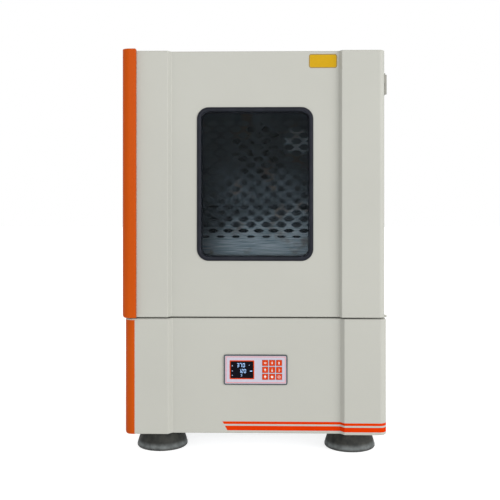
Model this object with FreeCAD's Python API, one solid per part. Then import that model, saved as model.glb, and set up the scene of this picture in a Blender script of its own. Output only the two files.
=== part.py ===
import FreeCAD, Part
import math
import os

from FreeCAD import Vector

os.makedirs("parts", exist_ok=True)

# Millimetres. X runs to the right, Y to the back and Z up.
# The origin is on the floor, under the middle of the part.

# Cabinet
overall_depth = 700.0
base_width = 633.0
base_height = 279.0
foot_height = 50.0
door_height = 645.0
seam = 3.0
sheet = 1.2

# Clearances
clear = 0.3
run_fit = 0.05
overrun = 4.0
nearness = 0.01

# Folded fronts, shared by the door and the base
recess_depth = 11.5
fold_radius = 3.0
edge_bevel = 1.8

# Base panels
base_left_strip = 106.1
base_right_strip = 101.8
base_slope_run = 9.2
base_corner_radius = 18.0
base_back_radius = 4.0
front_return = 40.0
rear_return = 10.0
bottom_flange = 20.0
deck_plate = 2.0
deck_rim = 3.6
pan_plate = 2.0

# Orange corner trim
trim_width = 24.9
trim_radius = 21.0
trim_reach = 29.0
trim_wall = 3.0
trim_bottom_radius = 8.0

# Side vents, louvres and floor slots
vent_length = 92.0
vent_height = 5.0
vent_pitch = 14.0
vent_count = 9
vent_rear_gap = 151.0
vent_rise = 60.0
louvre_length = 230.0
louvre_height = 11.0
louvre_proud = 9.0
louvre_lip = 4.0
louvre_pitch = 19.0
louvre_count = 9
louvre_rise = 44.0
floor_slot_width = 8.0
floor_slot_pitch = 22.0
floor_slot_count = 6

# Rubber feet
foot_rim_radius = 63.0
foot_top_radius = 58.0
foot_rim = 8.5
foot_side_inset = 81.0
foot_setback = 88.0

# Upper casing, foam and chamber
wall_thickness = 55.0
roof_thickness = 50.0
floor_thickness = 48.0
chamber_back_foam = 48.8
liner_sheet = 1.0
liner_flange = 14.0
casing_front_setback = 72.0
casing_radius = 8.0
rear_vent_length = 70.0
rear_vent_count = 5

# Air baffle, with its staggered hexagonal holes
plenum_depth = 77.0
baffle_sheet = 1.2
baffle_top_gap = 22.0
hole_width = 33.0
hole_height = 12.6
hole_tip_share = 0.26
hole_pitch_x = 47.3
hole_pitch_z = 18.6
hole_columns = 8
hole_rows = 10
hole_rise = 110.0

# Lamp and temperature probe in the chamber
lamp_length = 180.0
lamp_width = 34.0
lamp_depth = 9.0
lamp_setback = 150.0
lamp_side_gap = 131.5
probe_radius = 3.5
probe_length = 60.0
probe_foot_half = 9.0
probe_foot = 5.0
probe_side_gap = 71.5
probe_drop = 102.5

# Evaporator and heater behind the baffle
coil_side_gap = 51.5
coil_height = 130.0
coil_depth = 44.0
coil_rise = 26.0
coil_slot = 13.0
coil_rib = 5.0
coil_slot_share = 0.4
coil_slot_count = 14
heater_side_gap = 81.5
heater_height = 40.0
heater_gap = 24.0
heater_rod = 6.0
heater_setback = 30.0

# Circulation fan
fan_lift = 15.0
impeller_radius = 92.0
impeller_width = 40.0
impeller_hub = 24.0
impeller_plate = 2.0
impeller_gap = 14.0
impeller_blades = 9
blade_sheet = 2.0
blade_inner_share = 0.62
blade_sweep = 38.0
fan_shaft = 4.0
fan_motor_half = 38.0
fan_motor_length = 34.0
fan_motor_foot = 52.0
fan_motor_foot_plate = 4.0
fan_shaft_depth = 22.0
shaft_hole_margin = 5.0

# Orbital drive
throw = 12.5
spindle_radius = 15.0
bearing_radius = 31.0
bearing_width = 16.0
hub_radius = 45.0
hub_top_rise = 4.0
hub_length = 92.0
hub_flange_half = 78.0
hub_flange = 12.0
bearing_lip = 3.0
crank_disc_radius = 52.0
crank_disc = 15.0
crank_disc_rise = 7.5
weight_radius = 96.0
weight_angle = 110.0
pin_radius = 12.5
pin_length = 31.0
platform_bearing_radius = 26.0
platform_bearing_width = 15.0
groove_radius = 80.0
pulley_width = 20.0
pulley_flange = 2.5
pulley_gap = 6.0
belt_thickness = 6.0
belt_side_gap = 0.6

# Drive motor
motor_side_gap = 128.5
motor_half = 52.0
motor_shaft_out = 20.8
motor_foot = 132.0
motor_foot_plate = 9.0
motor_cap = 12.0
motor_cap_half = 44.0
motor_shaft_radius = 7.0
motor_groove_radius = 25.0
motor_pulley_rim = 5.0
motor_box_width = 60.0
motor_box_height = 70.0
motor_box_depth = 26.0
motor_box_rise = 46.0
shaft_depth = 18.0

# Idler cranks
idler_side_margin = 83.0
idler_front_margin = 97.0
idler_weight_gap = 6.0
pedestal_half = 26.0
pedestal_height = 16.0
idler_shaft_radius = 7.0
idler_arm_half = 11.0
idler_disc = 8.0
idler_pin_radius = 6.0
idler_bush_radius = 11.0
idler_boss_half = 17.0

# Platform
platform_rise = 78.0
platform_side_gap = 28.5
platform_front_gap = 17.5
platform_back_gap = 43.5
tray_plate = 2.0
tray_flange = 27.0
tray_hole_radius = 3.3
tray_hole_margin_x = 63.0
tray_hole_margin_y = 59.0
tray_hole_columns = 3
tray_hole_rows = 2
carrier_margin = 34.0
carrier_plate = 10.0
carrier_hub_radius = 42.0
carrier_rib = 9.0
carrier_rib_height = 16.0
carrier_bottom_gap = 5.0

# Compressor, condenser and pipes
compressor_side_gap = 131.5
compressor_rear_gap = 281.0
compressor_radius = 76.0
compressor_height = 150.0
compressor_dome = 24.0
compressor_foot_width = 178.0
compressor_foot_plate = 4.0
compressor_foot_rise = 8.0
grommet_half = 10.0
grommet_inset = 20.0
compressor_stub_rise = 96.0
condenser_side_gap = 166.5
condenser_width = 250.0
condenser_height = 170.0
condenser_depth = 46.0
condenser_gap = 12.0
condenser_slot_count = 12
blower_radius = 78.0
blower_gap = 12.0
blower_depth = 16.0
blower_hub = 24.0
blower_blades = 5
blower_twist = 32.0
blower_blade = 3.0
blower_motor_half = 28.0
blower_motor_length = 42.0
bracket_width = 44.0
bracket_sheet = 3.0
pipe_radius = 4.0
pipe_front_gap = 62.0
pipe_drop = 40.0

# Control panel
panel_width = 154.4
panel_height = 73.3
panel_rise = 117.8
panel_x = 0.85
panel_radius = 4.9
bezel_lip = 3.2
bezel_over = 1.6
bezel_proud = 3.0
bezel_wall = 2.3
bezel_depth = 22.0
fascia_sink = 0.7
fascia_plate = 2.2
display_width = 57.6
display_height = 43.4
display_x = -33.2
display_sink = 0.3
board_sheet = 1.6
board_setback = 7.4
key_size = 14.0
key_corner = 2.4
key_pitch = 16.8
key_rows = 3
key_proud = 1.1
key_flange = 1.0
key_flange_over = 0.9
key_stem = 4.0
key_travel = 0.5
key_grid_x = 39.9

# Mains inlet and its switch
inlet_side_gap = 80.5
inlet_rise = 70.0
inlet_width = 52.0
inlet_height = 88.0
inlet_plate = 3.0
inlet_depth = 30.0
inlet_lip = 4.0
inlet_radius = 4.0
socket_width = 26.0
socket_height = 18.0
socket_depth = 16.0
socket_drop = 20.0
blade_width = 2.2
blade_height = 6.0
blade_length = 13.0
blade_spread = 7.0
rocker_rise = 20.0
rocker_slot_width = 22.0
rocker_slot_height = 30.0
rocker_slot_depth = 14.0
rocker_tip = 6.2
rocker_dip = 3.4
rocker_back = 4.0
rocker_tilt = 8.0
rocker_side_gap = 0.4
rocker_pin_radius = 1.6
rocker_pin_length = 2.0
rocker_half_height = 12.6

# Door
door_left_inset = 14.5
door_right_inset = 4.5
door_left_strip = 90.7
door_right_strip = 103.3
door_slope_run = 7.0
door_corner_radius = 14.0
door_depth = 62.0
door_liner_sheet = 1.0

# Door window: two panes, each held in a rubber seal that lips over the sheet
window_width = 282.3
window_height = 372.9
window_offset = 5.7
window_radius = 29.0
seal_width = 10.0
seal_proud = 3.0
seal_back = 5.0
seal_sheet_grip = 5.0
glass = 4.0
tunnel_gap = 1.0
tunnel_wall = 1.0

# Door gasket
gasket_outer = 30.0
gasket_foot = 18.0
gasket_neck = 9.0
gasket_magnet = 13.0
gasket_foot_height = 3.0
gasket_magnet_height = 3.4

# Door grip
grip_proud = 12.0
grip_overhang = 5.2
grip_width = 34.6
grip_rise = 3.0
grip_radius = 20.0
grip_inner_radius = 3.0
grip_depth = 47.0
grip_wall = 4.0
grip_flange = 4.0
grip_groove = 20.0
grip_top_radius = 2.0
grip_bottom_radius = 9.0

# Hinges
knuckle_radius = 4.7
pin_inset = 39.0
hinge_pin_radius = 2.5
hinge_leaf = 2.4
hinge_height = 47.5
hinge_drop = 54.5
hinge_strap = 74.0
hinge_leaf_front = 26.0
hinge_leaf_back = 18.0
tab_plate = 2.4
tab_width = 52.0
tab_front = 24.0
tab_back = 16.0

# Places worked out from the sizes above
front_y = -overall_depth / 2 + grip_proud
rear_y = overall_depth / 2 - louvre_proud
middle_y = front_y + recess_depth
base_left_x = -base_width / 2
base_right_x = base_width / 2
base_z = foot_height
base_top_z = base_z + base_height
wall_top_z = base_top_z - deck_rim
pan_top_z = base_z + sheet + pan_plate
door_z = base_top_z + seam
door_top_z = door_z + door_height
door_left_x = base_left_x + door_left_inset
door_right_x = base_right_x - door_right_inset
door_back_y = front_y + door_depth
casing_front_y = front_y + casing_front_setback
foam_back_y = rear_y - sheet
chamber_half = base_width / 2 - wall_thickness
chamber_floor_z = base_top_z + floor_thickness
chamber_top_z = door_top_z - roof_thickness
chamber_height = chamber_top_z - chamber_floor_z
chamber_back_y = foam_back_y - chamber_back_foam - liner_sheet
baffle_y = chamber_back_y - plenum_depth
hinge_x = door_right_x + clear + knuckle_radius
hinge_y = front_y + pin_inset
window_z = door_z + door_height / 2
window_x = (door_left_x + door_right_x) / 2 - window_offset
platform_front_y = casing_front_y + platform_front_gap
platform_back_y = baffle_y - platform_back_gap
platform_width = 2 * (chamber_half - platform_side_gap)
platform_depth = platform_back_y - platform_front_y
pin_y = (platform_front_y + platform_back_y) / 2
drive_y = pin_y + throw
motor_x = base_left_x + motor_side_gap
hub_top_z = chamber_floor_z + hub_top_rise
hub_bottom_z = hub_top_z - hub_length
pulley_top_z = hub_bottom_z - pulley_gap
pulley_bottom_z = pulley_top_z - pulley_width
crank_bottom_z = chamber_floor_z + crank_disc_rise
crank_top_z = crank_bottom_z + crank_disc
platform_z = chamber_floor_z + platform_rise
carrier_top_z = platform_z - tray_plate
carrier_bottom_z = crank_top_z + carrier_bottom_gap
heater_low_z = chamber_floor_z + coil_rise + coil_height + heater_gap
fan_z = (heater_low_z + heater_height + chamber_top_z) / 2 + fan_lift
compressor_x = base_right_x - compressor_side_gap
compressor_y = rear_y - compressor_rear_gap
condenser_x = base_left_x + condenser_side_gap
inlet_x = base_right_x - inlet_side_gap
panel_z = base_z + panel_rise + panel_height / 2
inlet_z = base_z + inlet_rise
fascia_front_y = middle_y - bezel_proud + fascia_sink
fascia_back_y = fascia_front_y + fascia_plate
board_y = fascia_front_y + board_setback
idler_x = platform_width / 2 - idler_side_margin
idler_front = platform_depth / 2 - idler_front_margin
idler_back = weight_radius + idler_weight_gap + pedestal_half
idler_places = [(-idler_x, -idler_front), (idler_x, -idler_front), (0, idler_back)]


def block(x_from, x_to, y_from, y_to, z_from, z_to):
    corner = Vector(x_from, y_from, z_from)
    return Part.makeBox(x_to - x_from, y_to - y_from, z_to - z_from, corner)


def post(radius, z_from, z_to, x=0, y=0):
    """Upright round bar."""
    return Part.makeCylinder(radius, z_to - z_from, Vector(x, y, z_from))


def bar(radius, y_from, y_to, x, z):
    """Round bar that runs from front to back."""
    return Part.makeCylinder(radius, y_to - y_from, Vector(x, y_from, z), Vector(0, 1, 0))


def joined(shapes):
    return shapes[0].fuse(shapes[1:]).removeSplitter()


def without(shape, cutters):
    return shape.cut(cutters)


def loop(corners):
    """Closed wire through corners given as x, y and the radius that rounds each one."""
    points = [Vector(x, y, 0) for x, y, radius in corners]
    edges = []
    ends = []
    for index, (x, y, radius) in enumerate(corners):
        corner = points[index]
        back = (points[index - 1] - corner).normalize()
        ahead = (points[(index + 1) % len(points)] - corner).normalize()
        half_angle = back.getAngle(ahead) / 2
        run = radius / math.tan(half_angle)
        start = corner + back * run
        end = corner + ahead * run
        ends.append((start, end))
        if radius:
            inward = (back + ahead).normalize()
            middle = corner + inward * (radius / math.sin(half_angle) - radius)
            edges.append(Part.Arc(start, middle, end).toShape())
    for index, (start, end) in enumerate(ends):
        previous_end = ends[index - 1][1]
        if previous_end.distanceToPoint(start) > nearness:
            edges.append(Part.makeLine(previous_end, start))
    return Part.Wire(Part.__sortEdges__(edges))


def rectangle(width, height, radius, x=0, y=0):
    left, right = x - width / 2, x + width / 2
    low, high = y - height / 2, y + height / 2
    return [(left, low, radius), (right, low, radius), (right, high, radius), (left, high, radius)]


def slab(corners, z_from, z_to, inset=0):
    """Flat outline seen from above, extruded upwards. An inset draws the outline in all round."""
    face = Part.Face(loop(corners))
    if inset:
        face = face.makeOffset2D(-inset)
    face.translate(Vector(0, 0, z_from))
    return face.extrude(Vector(0, 0, z_to - z_from))


def upright(corners, y_from, y_to, inset=0):
    """Outline seen from the front, extruded towards the back."""
    face = Part.Face(loop(corners))
    if inset:
        face = face.makeOffset2D(-inset)
    face.rotate(Vector(0, 0, 0), Vector(1, 0, 0), 90)
    face.translate(Vector(0, y_from, 0))
    return face.extrude(Vector(0, y_to - y_from, 0))


def sideways(corners, x_from, x_to):
    """Outline seen from the side, as y and z, extruded to the right."""
    face = Part.Face(loop(corners))
    face.rotate(Vector(0, 0, 0), Vector(1, 1, 1), 120)
    face.translate(Vector(x_from, 0, 0))
    return face.extrude(Vector(x_to - x_from, 0, 0))


def ease_level_edges(solid, size, z, back=None):
    """Bevels the edges that lie at one height, leaving the one along the back, if a back is given."""
    edges = []
    for edge in solid.Edges:
        bounds = edge.BoundBox
        level = abs(bounds.ZMin - z) < nearness and abs(bounds.ZMax - z) < nearness
        ahead_of_back = back is None or bounds.YMin < back - nearness
        if level and ahead_of_back:
            edges.append(edge)
    return solid.makeChamfer(size, edges)


def front_plan(left, right, strips, slope_run, radii, back):
    """Plan of a folded front: two strips with a middle panel set back between them."""
    left_strip, right_strip = strips
    left_radius, right_radius, back_radius = radii
    return [
        (left, front_y, left_radius),
        (left + left_strip, front_y, fold_radius),
        (left + left_strip + slope_run, middle_y, fold_radius),
        (right - right_strip - slope_run, middle_y, fold_radius),
        (right - right_strip, front_y, fold_radius),
        (right, front_y, right_radius),
        (right, back, back_radius),
        (left, back, back_radius),
    ]


def save(name, shape):
    shape.exportStep("parts/" + name + ".step")


# Base casing

base_radii = (trim_radius, base_corner_radius, base_back_radius)
base_strips = (base_left_strip, base_right_strip)
base_plan = front_plan(base_left_x, base_right_x, base_strips, base_slope_run, base_radii, rear_y)


def base_wall():
    """The four walls of the base in one ring, folded inwards along the floor."""
    outer = ease_level_edges(slab(base_plan, base_z, wall_top_z), edge_bevel, base_z)
    inner = slab(base_plan, base_z + sheet, wall_top_z + overrun, sheet)
    floor_opening = slab(base_plan, base_z - overrun, base_z + overrun, bottom_flange)
    return without(outer, [inner, floor_opening])


def base_front_panel():
    region = block(base_left_x + trim_width, base_right_x + overrun, front_y - overrun,
                   front_y + front_return, base_z - overrun, wall_top_z)
    width = panel_width - 2 * bezel_over + 2 * run_fit
    height = panel_height - 2 * bezel_over + 2 * run_fit
    hole = rectangle(width, height, panel_radius - bezel_over, panel_x, panel_z)
    opening = upright(hole, middle_y - overrun, middle_y + overrun)
    return base_wall().common(region).cut(opening)


def base_side_panels():
    """Left and right side of the base, each with a field of vent slots near the back."""
    sides = []
    vents = []
    vent_y = rear_y - vent_rear_gap
    for row in range(vent_count):
        low = base_z + vent_rise + row * vent_pitch
        vents.append(block(base_left_x - overrun, base_right_x + overrun, vent_y - vent_length / 2,
                           vent_y + vent_length / 2, low, low + vent_height))
    spans = [
        (base_left_x - overrun, base_left_x + bottom_flange, front_y + trim_reach),
        (base_right_x - bottom_flange, base_right_x + overrun, front_y + front_return),
    ]
    for left, right, front in spans:
        region = block(left, right, front, rear_y - rear_return, base_z - overrun, wall_top_z)
        sides.append(base_wall().common(region).cut(vents))
    return Part.makeCompound(sides)


def trim_corner():
    """Front left corner of the base's outline, as wide and thick as the trim."""
    ring = slab(base_plan, base_z, wall_top_z).cut(
        slab(base_plan, base_z - overrun, wall_top_z + overrun, trim_wall))
    return ring.common(block(base_left_x, base_left_x + trim_width, front_y, front_y + trim_reach,
                             base_z, wall_top_z))


def base_corner_trim():
    """Quarter-round trim, with its lower end rounded off towards the side."""
    right = base_left_x + trim_width
    front_view = [
        (base_left_x, base_z, trim_bottom_radius),
        (right, base_z, 0),
        (right, wall_top_z, 0),
        (base_left_x, wall_top_z, 0),
    ]
    return trim_corner().common(upright(front_view, front_y - overrun, front_y + trim_reach + overrun))


def louvre(z):
    """Pressed hood that slopes out of the panel and opens downwards, with closed ends."""
    left = condenser_x - louvre_length / 2
    right = condenser_x + louvre_length / 2
    hood = [
        (rear_y, z, 0),
        (rear_y + louvre_proud, z, 0),
        (rear_y + louvre_proud, z + louvre_lip, 0),
        (rear_y, z + louvre_height, 0),
    ]
    throat = [
        (rear_y - overrun, z - overrun, 0),
        (rear_y + louvre_proud - sheet, z - overrun, 0),
        (rear_y + louvre_proud - sheet, z + louvre_lip - sheet, 0),
        (rear_y - sheet, z + louvre_height - 2 * sheet, 0),
        (rear_y - overrun, z + louvre_height - 2 * sheet, 0),
    ]
    return sideways(hood, left, right), sideways(throat, left + sheet, right - sheet)


def base_rear_panel():
    """Back of the base, with louvres for the condenser and the cut-out of the mains inlet."""
    region = block(base_left_x - overrun, base_right_x + overrun, rear_y - rear_return,
                   rear_y + overrun, base_z - overrun, wall_top_z)
    panel = base_wall().common(region)
    hoods = []
    throats = []
    for row in range(louvre_count):
        hood, throat = louvre(base_z + louvre_rise + row * louvre_pitch)
        hoods.append(hood)
        throats.append(throat)
    body_width = inlet_width - 2 * inlet_lip
    body_height = inlet_height - 2 * inlet_lip
    hole = upright(rectangle(body_width, body_height, 0, inlet_x, inlet_z),
                   rear_y - overrun, rear_y + overrun)
    return without(joined([panel] + hoods), throats + [hole])


def base_deck():
    """Top plate of the base, with a turned-down rim and the seat of the drive hub."""
    outer = ease_level_edges(slab(base_plan, wall_top_z, base_top_z), edge_bevel, base_top_z)
    inner = slab(base_plan, wall_top_z - overrun, base_top_z - deck_plate, sheet)
    hub_hole = post(hub_radius, wall_top_z, base_top_z + overrun, 0, drive_y)
    return without(outer, [inner, hub_hole])


def base_pan():
    """Floor plate of the base, lying on the walls' flanges, with slots below the compressor."""
    plate = slab(base_plan, base_z + sheet, pan_top_z, sheet)
    slots = []
    for index in range(floor_slot_count):
        left = compressor_x + (index - floor_slot_count / 2) * floor_slot_pitch
        slots.append(block(left, left + floor_slot_width, compressor_y - compressor_radius / 2,
                           compressor_y + compressor_radius / 2, base_z, pan_top_z + overrun))
    return without(plate, slots + [trim_corner()])


def rubber_feet():
    """Four broad turned feet, flared to a rim just above the floor."""
    side = [
        (0, 0, 0),
        (foot_rim_radius, 0, 0),
        (foot_rim_radius, foot_rim, 0),
        (foot_top_radius, base_z + sheet, 0),
        (0, base_z + sheet, 0),
    ]
    face = Part.Face(loop(side))
    face.rotate(Vector(0, 0, 0), Vector(1, 0, 0), 90)
    foot = face.revolve(Vector(0, 0, 0), Vector(0, 0, 1), 360)
    feet = []
    for x in (base_left_x + foot_side_inset, base_right_x - foot_side_inset):
        for y in (front_y + foot_setback, rear_y - foot_setback):
            placed = foot.copy()
            placed.translate(Vector(x, y, 0))
            feet.append(placed)
    return Part.makeCompound(feet)


# Upper casing, insulation and chamber

casing_view = [
    (base_left_x, base_top_z, 0),
    (base_right_x, base_top_z, 0),
    (base_right_x, door_top_z, casing_radius),
    (base_left_x, door_top_z, casing_radius),
]
chamber_view = rectangle(2 * chamber_half, chamber_height, 0, 0, chamber_floor_z + chamber_height / 2)
liner_view = rectangle(2 * (chamber_half + liner_sheet), chamber_height + 2 * liner_sheet, 0, 0,
                       chamber_floor_z + chamber_height / 2)
flange_view = rectangle(2 * (chamber_half + liner_flange), chamber_height + 2 * liner_flange, 0, 0,
                        chamber_floor_z + chamber_height / 2)


def upper_casing():
    """Left side, top and right side folded from one sheet, with a front frame round the mouth."""
    outer = upright(casing_view, casing_front_y, foam_back_y)
    inner = upright(casing_view, casing_front_y + sheet, foam_back_y + overrun, sheet)
    below = block(base_left_x + sheet, base_right_x - sheet, casing_front_y + sheet,
                  foam_back_y + overrun, base_top_z - overrun, base_top_z + 2 * sheet)
    mouth = upright(flange_view, casing_front_y - overrun, casing_front_y + overrun)
    return without(outer, [inner, below, mouth])


def rear_cover():
    """Flat back of the upper casing, with air slots over the circulation motor."""
    plate = upright(casing_view, foam_back_y, rear_y)
    slots = []
    for row in range(rear_vent_count):
        low = fan_z + (row - rear_vent_count / 2) * vent_pitch
        slots.append(block(-rear_vent_length / 2, rear_vent_length / 2, foam_back_y - overrun,
                           rear_y + overrun, low, low + vent_height))
    return without(plate, slots)


def motor_pocket():
    """Room in the foam for the circulation motor, from its foot plate to the rear cover."""
    foot_top_y = chamber_back_y + liner_sheet + fan_motor_foot_plate
    foot = upright(rectangle(2 * fan_motor_foot, 2 * fan_motor_foot, 0, 0, fan_z),
                   chamber_back_y + liner_sheet, foot_top_y)
    width = 2 * (fan_motor_half + shaft_hole_margin)
    can = upright(rectangle(width, width, 0, 0, fan_z), chamber_back_y + liner_sheet, foam_back_y + overrun)
    return foot.fuse(can)


def insulation_foam():
    outer = upright(casing_view, casing_front_y + sheet, foam_back_y, sheet)
    below = block(base_left_x + sheet, base_right_x - sheet, casing_front_y + sheet, foam_back_y,
                  base_top_z, base_top_z + 2 * sheet)
    cavity = upright(liner_view, casing_front_y - overrun, chamber_back_y + liner_sheet)
    hub_hole = post(hub_radius, base_top_z - overrun, chamber_floor_z, 0, drive_y)
    return without(outer.fuse(below).removeSplitter(), [cavity, hub_hole, motor_pocket()])


def chamber_liner():
    """Folded steel lining, with a flange that lies in the front frame of the casing."""
    box = upright(liner_view, casing_front_y, chamber_back_y + liner_sheet)
    flange = upright(flange_view, casing_front_y, casing_front_y + sheet)
    inside = upright(chamber_view, casing_front_y - overrun, chamber_back_y)
    hub_hole = post(hub_radius, chamber_floor_z - overrun, chamber_floor_z + overrun, 0, drive_y)
    shaft_hole = bar(fan_shaft + shaft_hole_margin, chamber_back_y - overrun,
                     chamber_back_y + overrun, 0, fan_z)
    return without(joined([box, flange]), [inside, hub_hole, shaft_hole])


def hexagon(x, z):
    """Elongated six-sided hole that points left and right."""
    tip = hole_width / 2
    shoulder = tip - hole_width * hole_tip_share
    half = hole_height / 2
    corners = [(-tip, 0), (-shoulder, -half), (shoulder, -half),
               (tip, 0), (shoulder, half), (-shoulder, half)]
    return upright([(x + across, z + up, 0) for across, up in corners],
                   baffle_y - overrun, baffle_y + overrun)


def air_baffle():
    """Perforated wall in front of the fan. Alternate rows of holes are shifted by half a pitch."""
    plate = block(-chamber_half, chamber_half, baffle_y, baffle_y + baffle_sheet, chamber_floor_z,
                  chamber_top_z - baffle_top_gap)
    returns = []
    for side in (-1, 1):
        edges = sorted([side * chamber_half, side * (chamber_half - baffle_sheet)])
        returns.append(block(edges[0], edges[1], baffle_y, baffle_y + bottom_flange,
                             chamber_floor_z, chamber_top_z - baffle_top_gap))
    holes = []
    for row in range(hole_rows):
        columns = hole_columns - row % 2
        for column in range(columns):
            x = (column - (columns - 1) / 2) * hole_pitch_x
            holes.append(hexagon(x, chamber_floor_z + hole_rise + row * hole_pitch_z))
    return without(joined([plate] + returns), holes)


def chamber_lamp():
    """Flat lamp on the roof of the chamber."""
    x = chamber_half - lamp_side_gap - lamp_length / 2
    y = casing_front_y + lamp_setback
    return slab(rectangle(lamp_length, lamp_width, lamp_depth, x, y),
                chamber_top_z - lamp_depth, chamber_top_z)


def temperature_probe():
    """Probe rod on a square foot, standing forwards from the baffle."""
    x = chamber_half - probe_side_gap
    z = chamber_top_z - probe_drop
    foot = upright(rectangle(2 * probe_foot_half, 2 * probe_foot_half, 0, x, z),
                   baffle_y - probe_foot, baffle_y)
    return joined([foot, bar(probe_radius, baffle_y - probe_length, baffle_y, x, z)])


def finned_coil(width, height, depth, slot_count, x, y_from, z_from):
    """Block of fins, cut as slots from the front and the back that leave the tube rows between."""
    body = block(x - width / 2, x + width / 2, y_from, y_from + depth, z_from, z_from + height)
    pitch = (width - 2 * coil_rib) / slot_count
    slot_width = pitch * coil_slot_share
    slots = []
    for index in range(slot_count):
        left = x - width / 2 + coil_rib + (index + (1 - coil_slot_share) / 2) * pitch
        for front in (y_from - overrun, y_from + depth - coil_slot):
            slots.append(block(left, left + slot_width, front, front + coil_slot + overrun,
                               z_from + coil_rib, z_from + height - coil_rib))
    return without(body, slots)


def evaporator_coil():
    width = 2 * (chamber_half - coil_side_gap)
    return finned_coil(width, coil_height, coil_depth, coil_slot_count, 0,
                       chamber_back_y - coil_depth, chamber_floor_z + coil_rise)


def pipe(points, radius):
    """Round pipe through points, with mitred bends."""
    path = Part.makePolygon(points)
    section = Part.Wire(Part.makeCircle(radius, points[0], points[1] - points[0]))
    return path.makePipeShell([section], True, False, 1)


def heater_element():
    """Tubular heater bent into a hairpin below the fan, with both ends in the back of the liner."""
    y = chamber_back_y - heater_setback
    low = heater_low_z
    high = low + heater_height
    half = chamber_half - heater_side_gap
    return pipe([
        Vector(-half, chamber_back_y, low),
        Vector(-half, y, low),
        Vector(half, y, low),
        Vector(half, y, high),
        Vector(-half, y, high),
        Vector(-half, chamber_back_y, high),
    ], heater_rod / 2)


# Circulation fan

impeller_back_y = chamber_back_y - impeller_gap


def circulation_motor():
    """Square motor on a foot plate that lies on the back of the liner."""
    foot_y = chamber_back_y + liner_sheet
    foot = upright(rectangle(2 * fan_motor_foot, 2 * fan_motor_foot, 0, 0, fan_z), foot_y,
                   foot_y + fan_motor_foot_plate)
    can = upright(rectangle(2 * fan_motor_half, 2 * fan_motor_half, 0, 0, fan_z), foot_y,
                  foot_y + fan_motor_length)
    bore = bar(fan_shaft + run_fit, foot_y - overrun, foot_y + fan_shaft_depth + clear, 0, fan_z)
    return without(joined([foot, can]), [bore])


def blade(radius, depth, y_from, sweep, thickness, inner_share):
    """Flat blade from near the hub to the rim, turned about its inner end by the sweep."""
    inner = radius * inner_share
    plate = block(-thickness / 2, thickness / 2, y_from, y_from + depth, 0, radius - inner)
    plate.rotate(Vector(0, 0, 0), Vector(0, 1, 0), sweep)
    plate.translate(Vector(0, 0, inner))
    return plate


def circulation_impeller():
    """Centrifugal wheel: back plate, hub, swept blades and the shaft that enters the motor."""
    front_y = impeller_back_y - impeller_width
    plate = bar(impeller_radius, impeller_back_y - impeller_plate, impeller_back_y, 0, 0)
    hub = bar(impeller_hub, front_y, impeller_back_y, 0, 0)
    shaft_end_y = chamber_back_y + liner_sheet + fan_shaft_depth
    shaft = bar(fan_shaft, impeller_back_y, shaft_end_y, 0, 0)
    blades = []
    rim = impeller_radius * math.cos(math.radians(blade_sweep)) * (1 - blade_inner_share)
    for index in range(impeller_blades):
        fin = blade(impeller_radius * blade_inner_share + rim, impeller_width, front_y, blade_sweep,
                    blade_sheet, blade_inner_share)
        fin.rotate(Vector(0, 0, 0), Vector(0, 1, 0), 360 * index / impeller_blades)
        blades.append(fin)
    wheel = joined([plate, hub, shaft] + blades)
    wheel.translate(Vector(0, 0, fan_z))
    return wheel


# Orbital drive

def drive_hub():
    """Cast hub: a square flange under the deck and a tube up through the foam, bored for two bearings."""
    tube = post(hub_radius, hub_bottom_z, hub_top_z, 0, drive_y)
    flange_z = base_top_z - deck_plate
    flange = slab(rectangle(2 * hub_flange_half, 2 * hub_flange_half, 0, 0, drive_y),
                  flange_z - hub_flange, flange_z)
    bore = post(bearing_radius, hub_bottom_z - overrun, hub_top_z - bearing_lip, 0, drive_y)
    neck = post(spindle_radius + shaft_hole_margin, hub_bottom_z, hub_top_z + overrun, 0, drive_y)
    return without(joined([tube, flange]), [bore, neck])


def ring(outer, inner, z_from, z_to, x, y):
    return post(outer, z_from, z_to, x, y).cut(post(inner, z_from - overrun, z_to + overrun, x, y))


def drive_bearings():
    """Two ball bearings, one at each end of the hub."""
    upper_z = hub_top_z - bearing_lip - bearing_width
    rings = []
    for low in (hub_bottom_z, upper_z):
        rings.append(ring(bearing_radius, spindle_radius + run_fit, low, low + bearing_width, 0, drive_y))
    return Part.makeCompound(rings)


def crankshaft():
    """Spindle, crank disc with its counterweight, and the eccentric pin in front of the axis."""
    spindle = post(spindle_radius, pulley_bottom_z, crank_bottom_z, 0, drive_y)
    disc = post(crank_disc_radius, crank_bottom_z, crank_top_z, 0, drive_y)
    start = 90 - weight_angle / 2
    weight = Part.makeCylinder(weight_radius, crank_disc, Vector(0, drive_y, crank_bottom_z),
                               Vector(0, 0, 1), weight_angle)
    weight.rotate(Vector(0, drive_y, 0), Vector(0, 0, 1), start)
    pin = post(pin_radius, crank_top_z, crank_top_z + pin_length, 0, pin_y)
    return joined([spindle, disc, weight, pin])


def crank_pulley():
    """Large flat-rimmed belt wheel on the spindle."""
    wheel = post(groove_radius, pulley_bottom_z, pulley_top_z, 0, drive_y)
    bore = post(spindle_radius, pulley_bottom_z - overrun, pulley_top_z + overrun, 0, drive_y)
    return without(wheel, [bore])


motor_top_z = pulley_bottom_z - motor_shaft_out - motor_cap


def motor_pulley():
    """Small belt wheel, with a flange on each side that keeps the belt on, and the motor shaft."""
    core = post(motor_groove_radius, pulley_bottom_z, pulley_top_z, motor_x, drive_y)
    rim = motor_groove_radius + motor_pulley_rim
    low = post(rim, pulley_bottom_z, pulley_bottom_z + pulley_flange, motor_x, drive_y)
    high = post(rim, pulley_top_z - pulley_flange, pulley_top_z, motor_x, drive_y)
    shaft = post(motor_shaft_radius, motor_top_z + motor_cap - shaft_depth, pulley_bottom_z, motor_x, drive_y)
    return joined([core, low, high, shaft])


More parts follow.
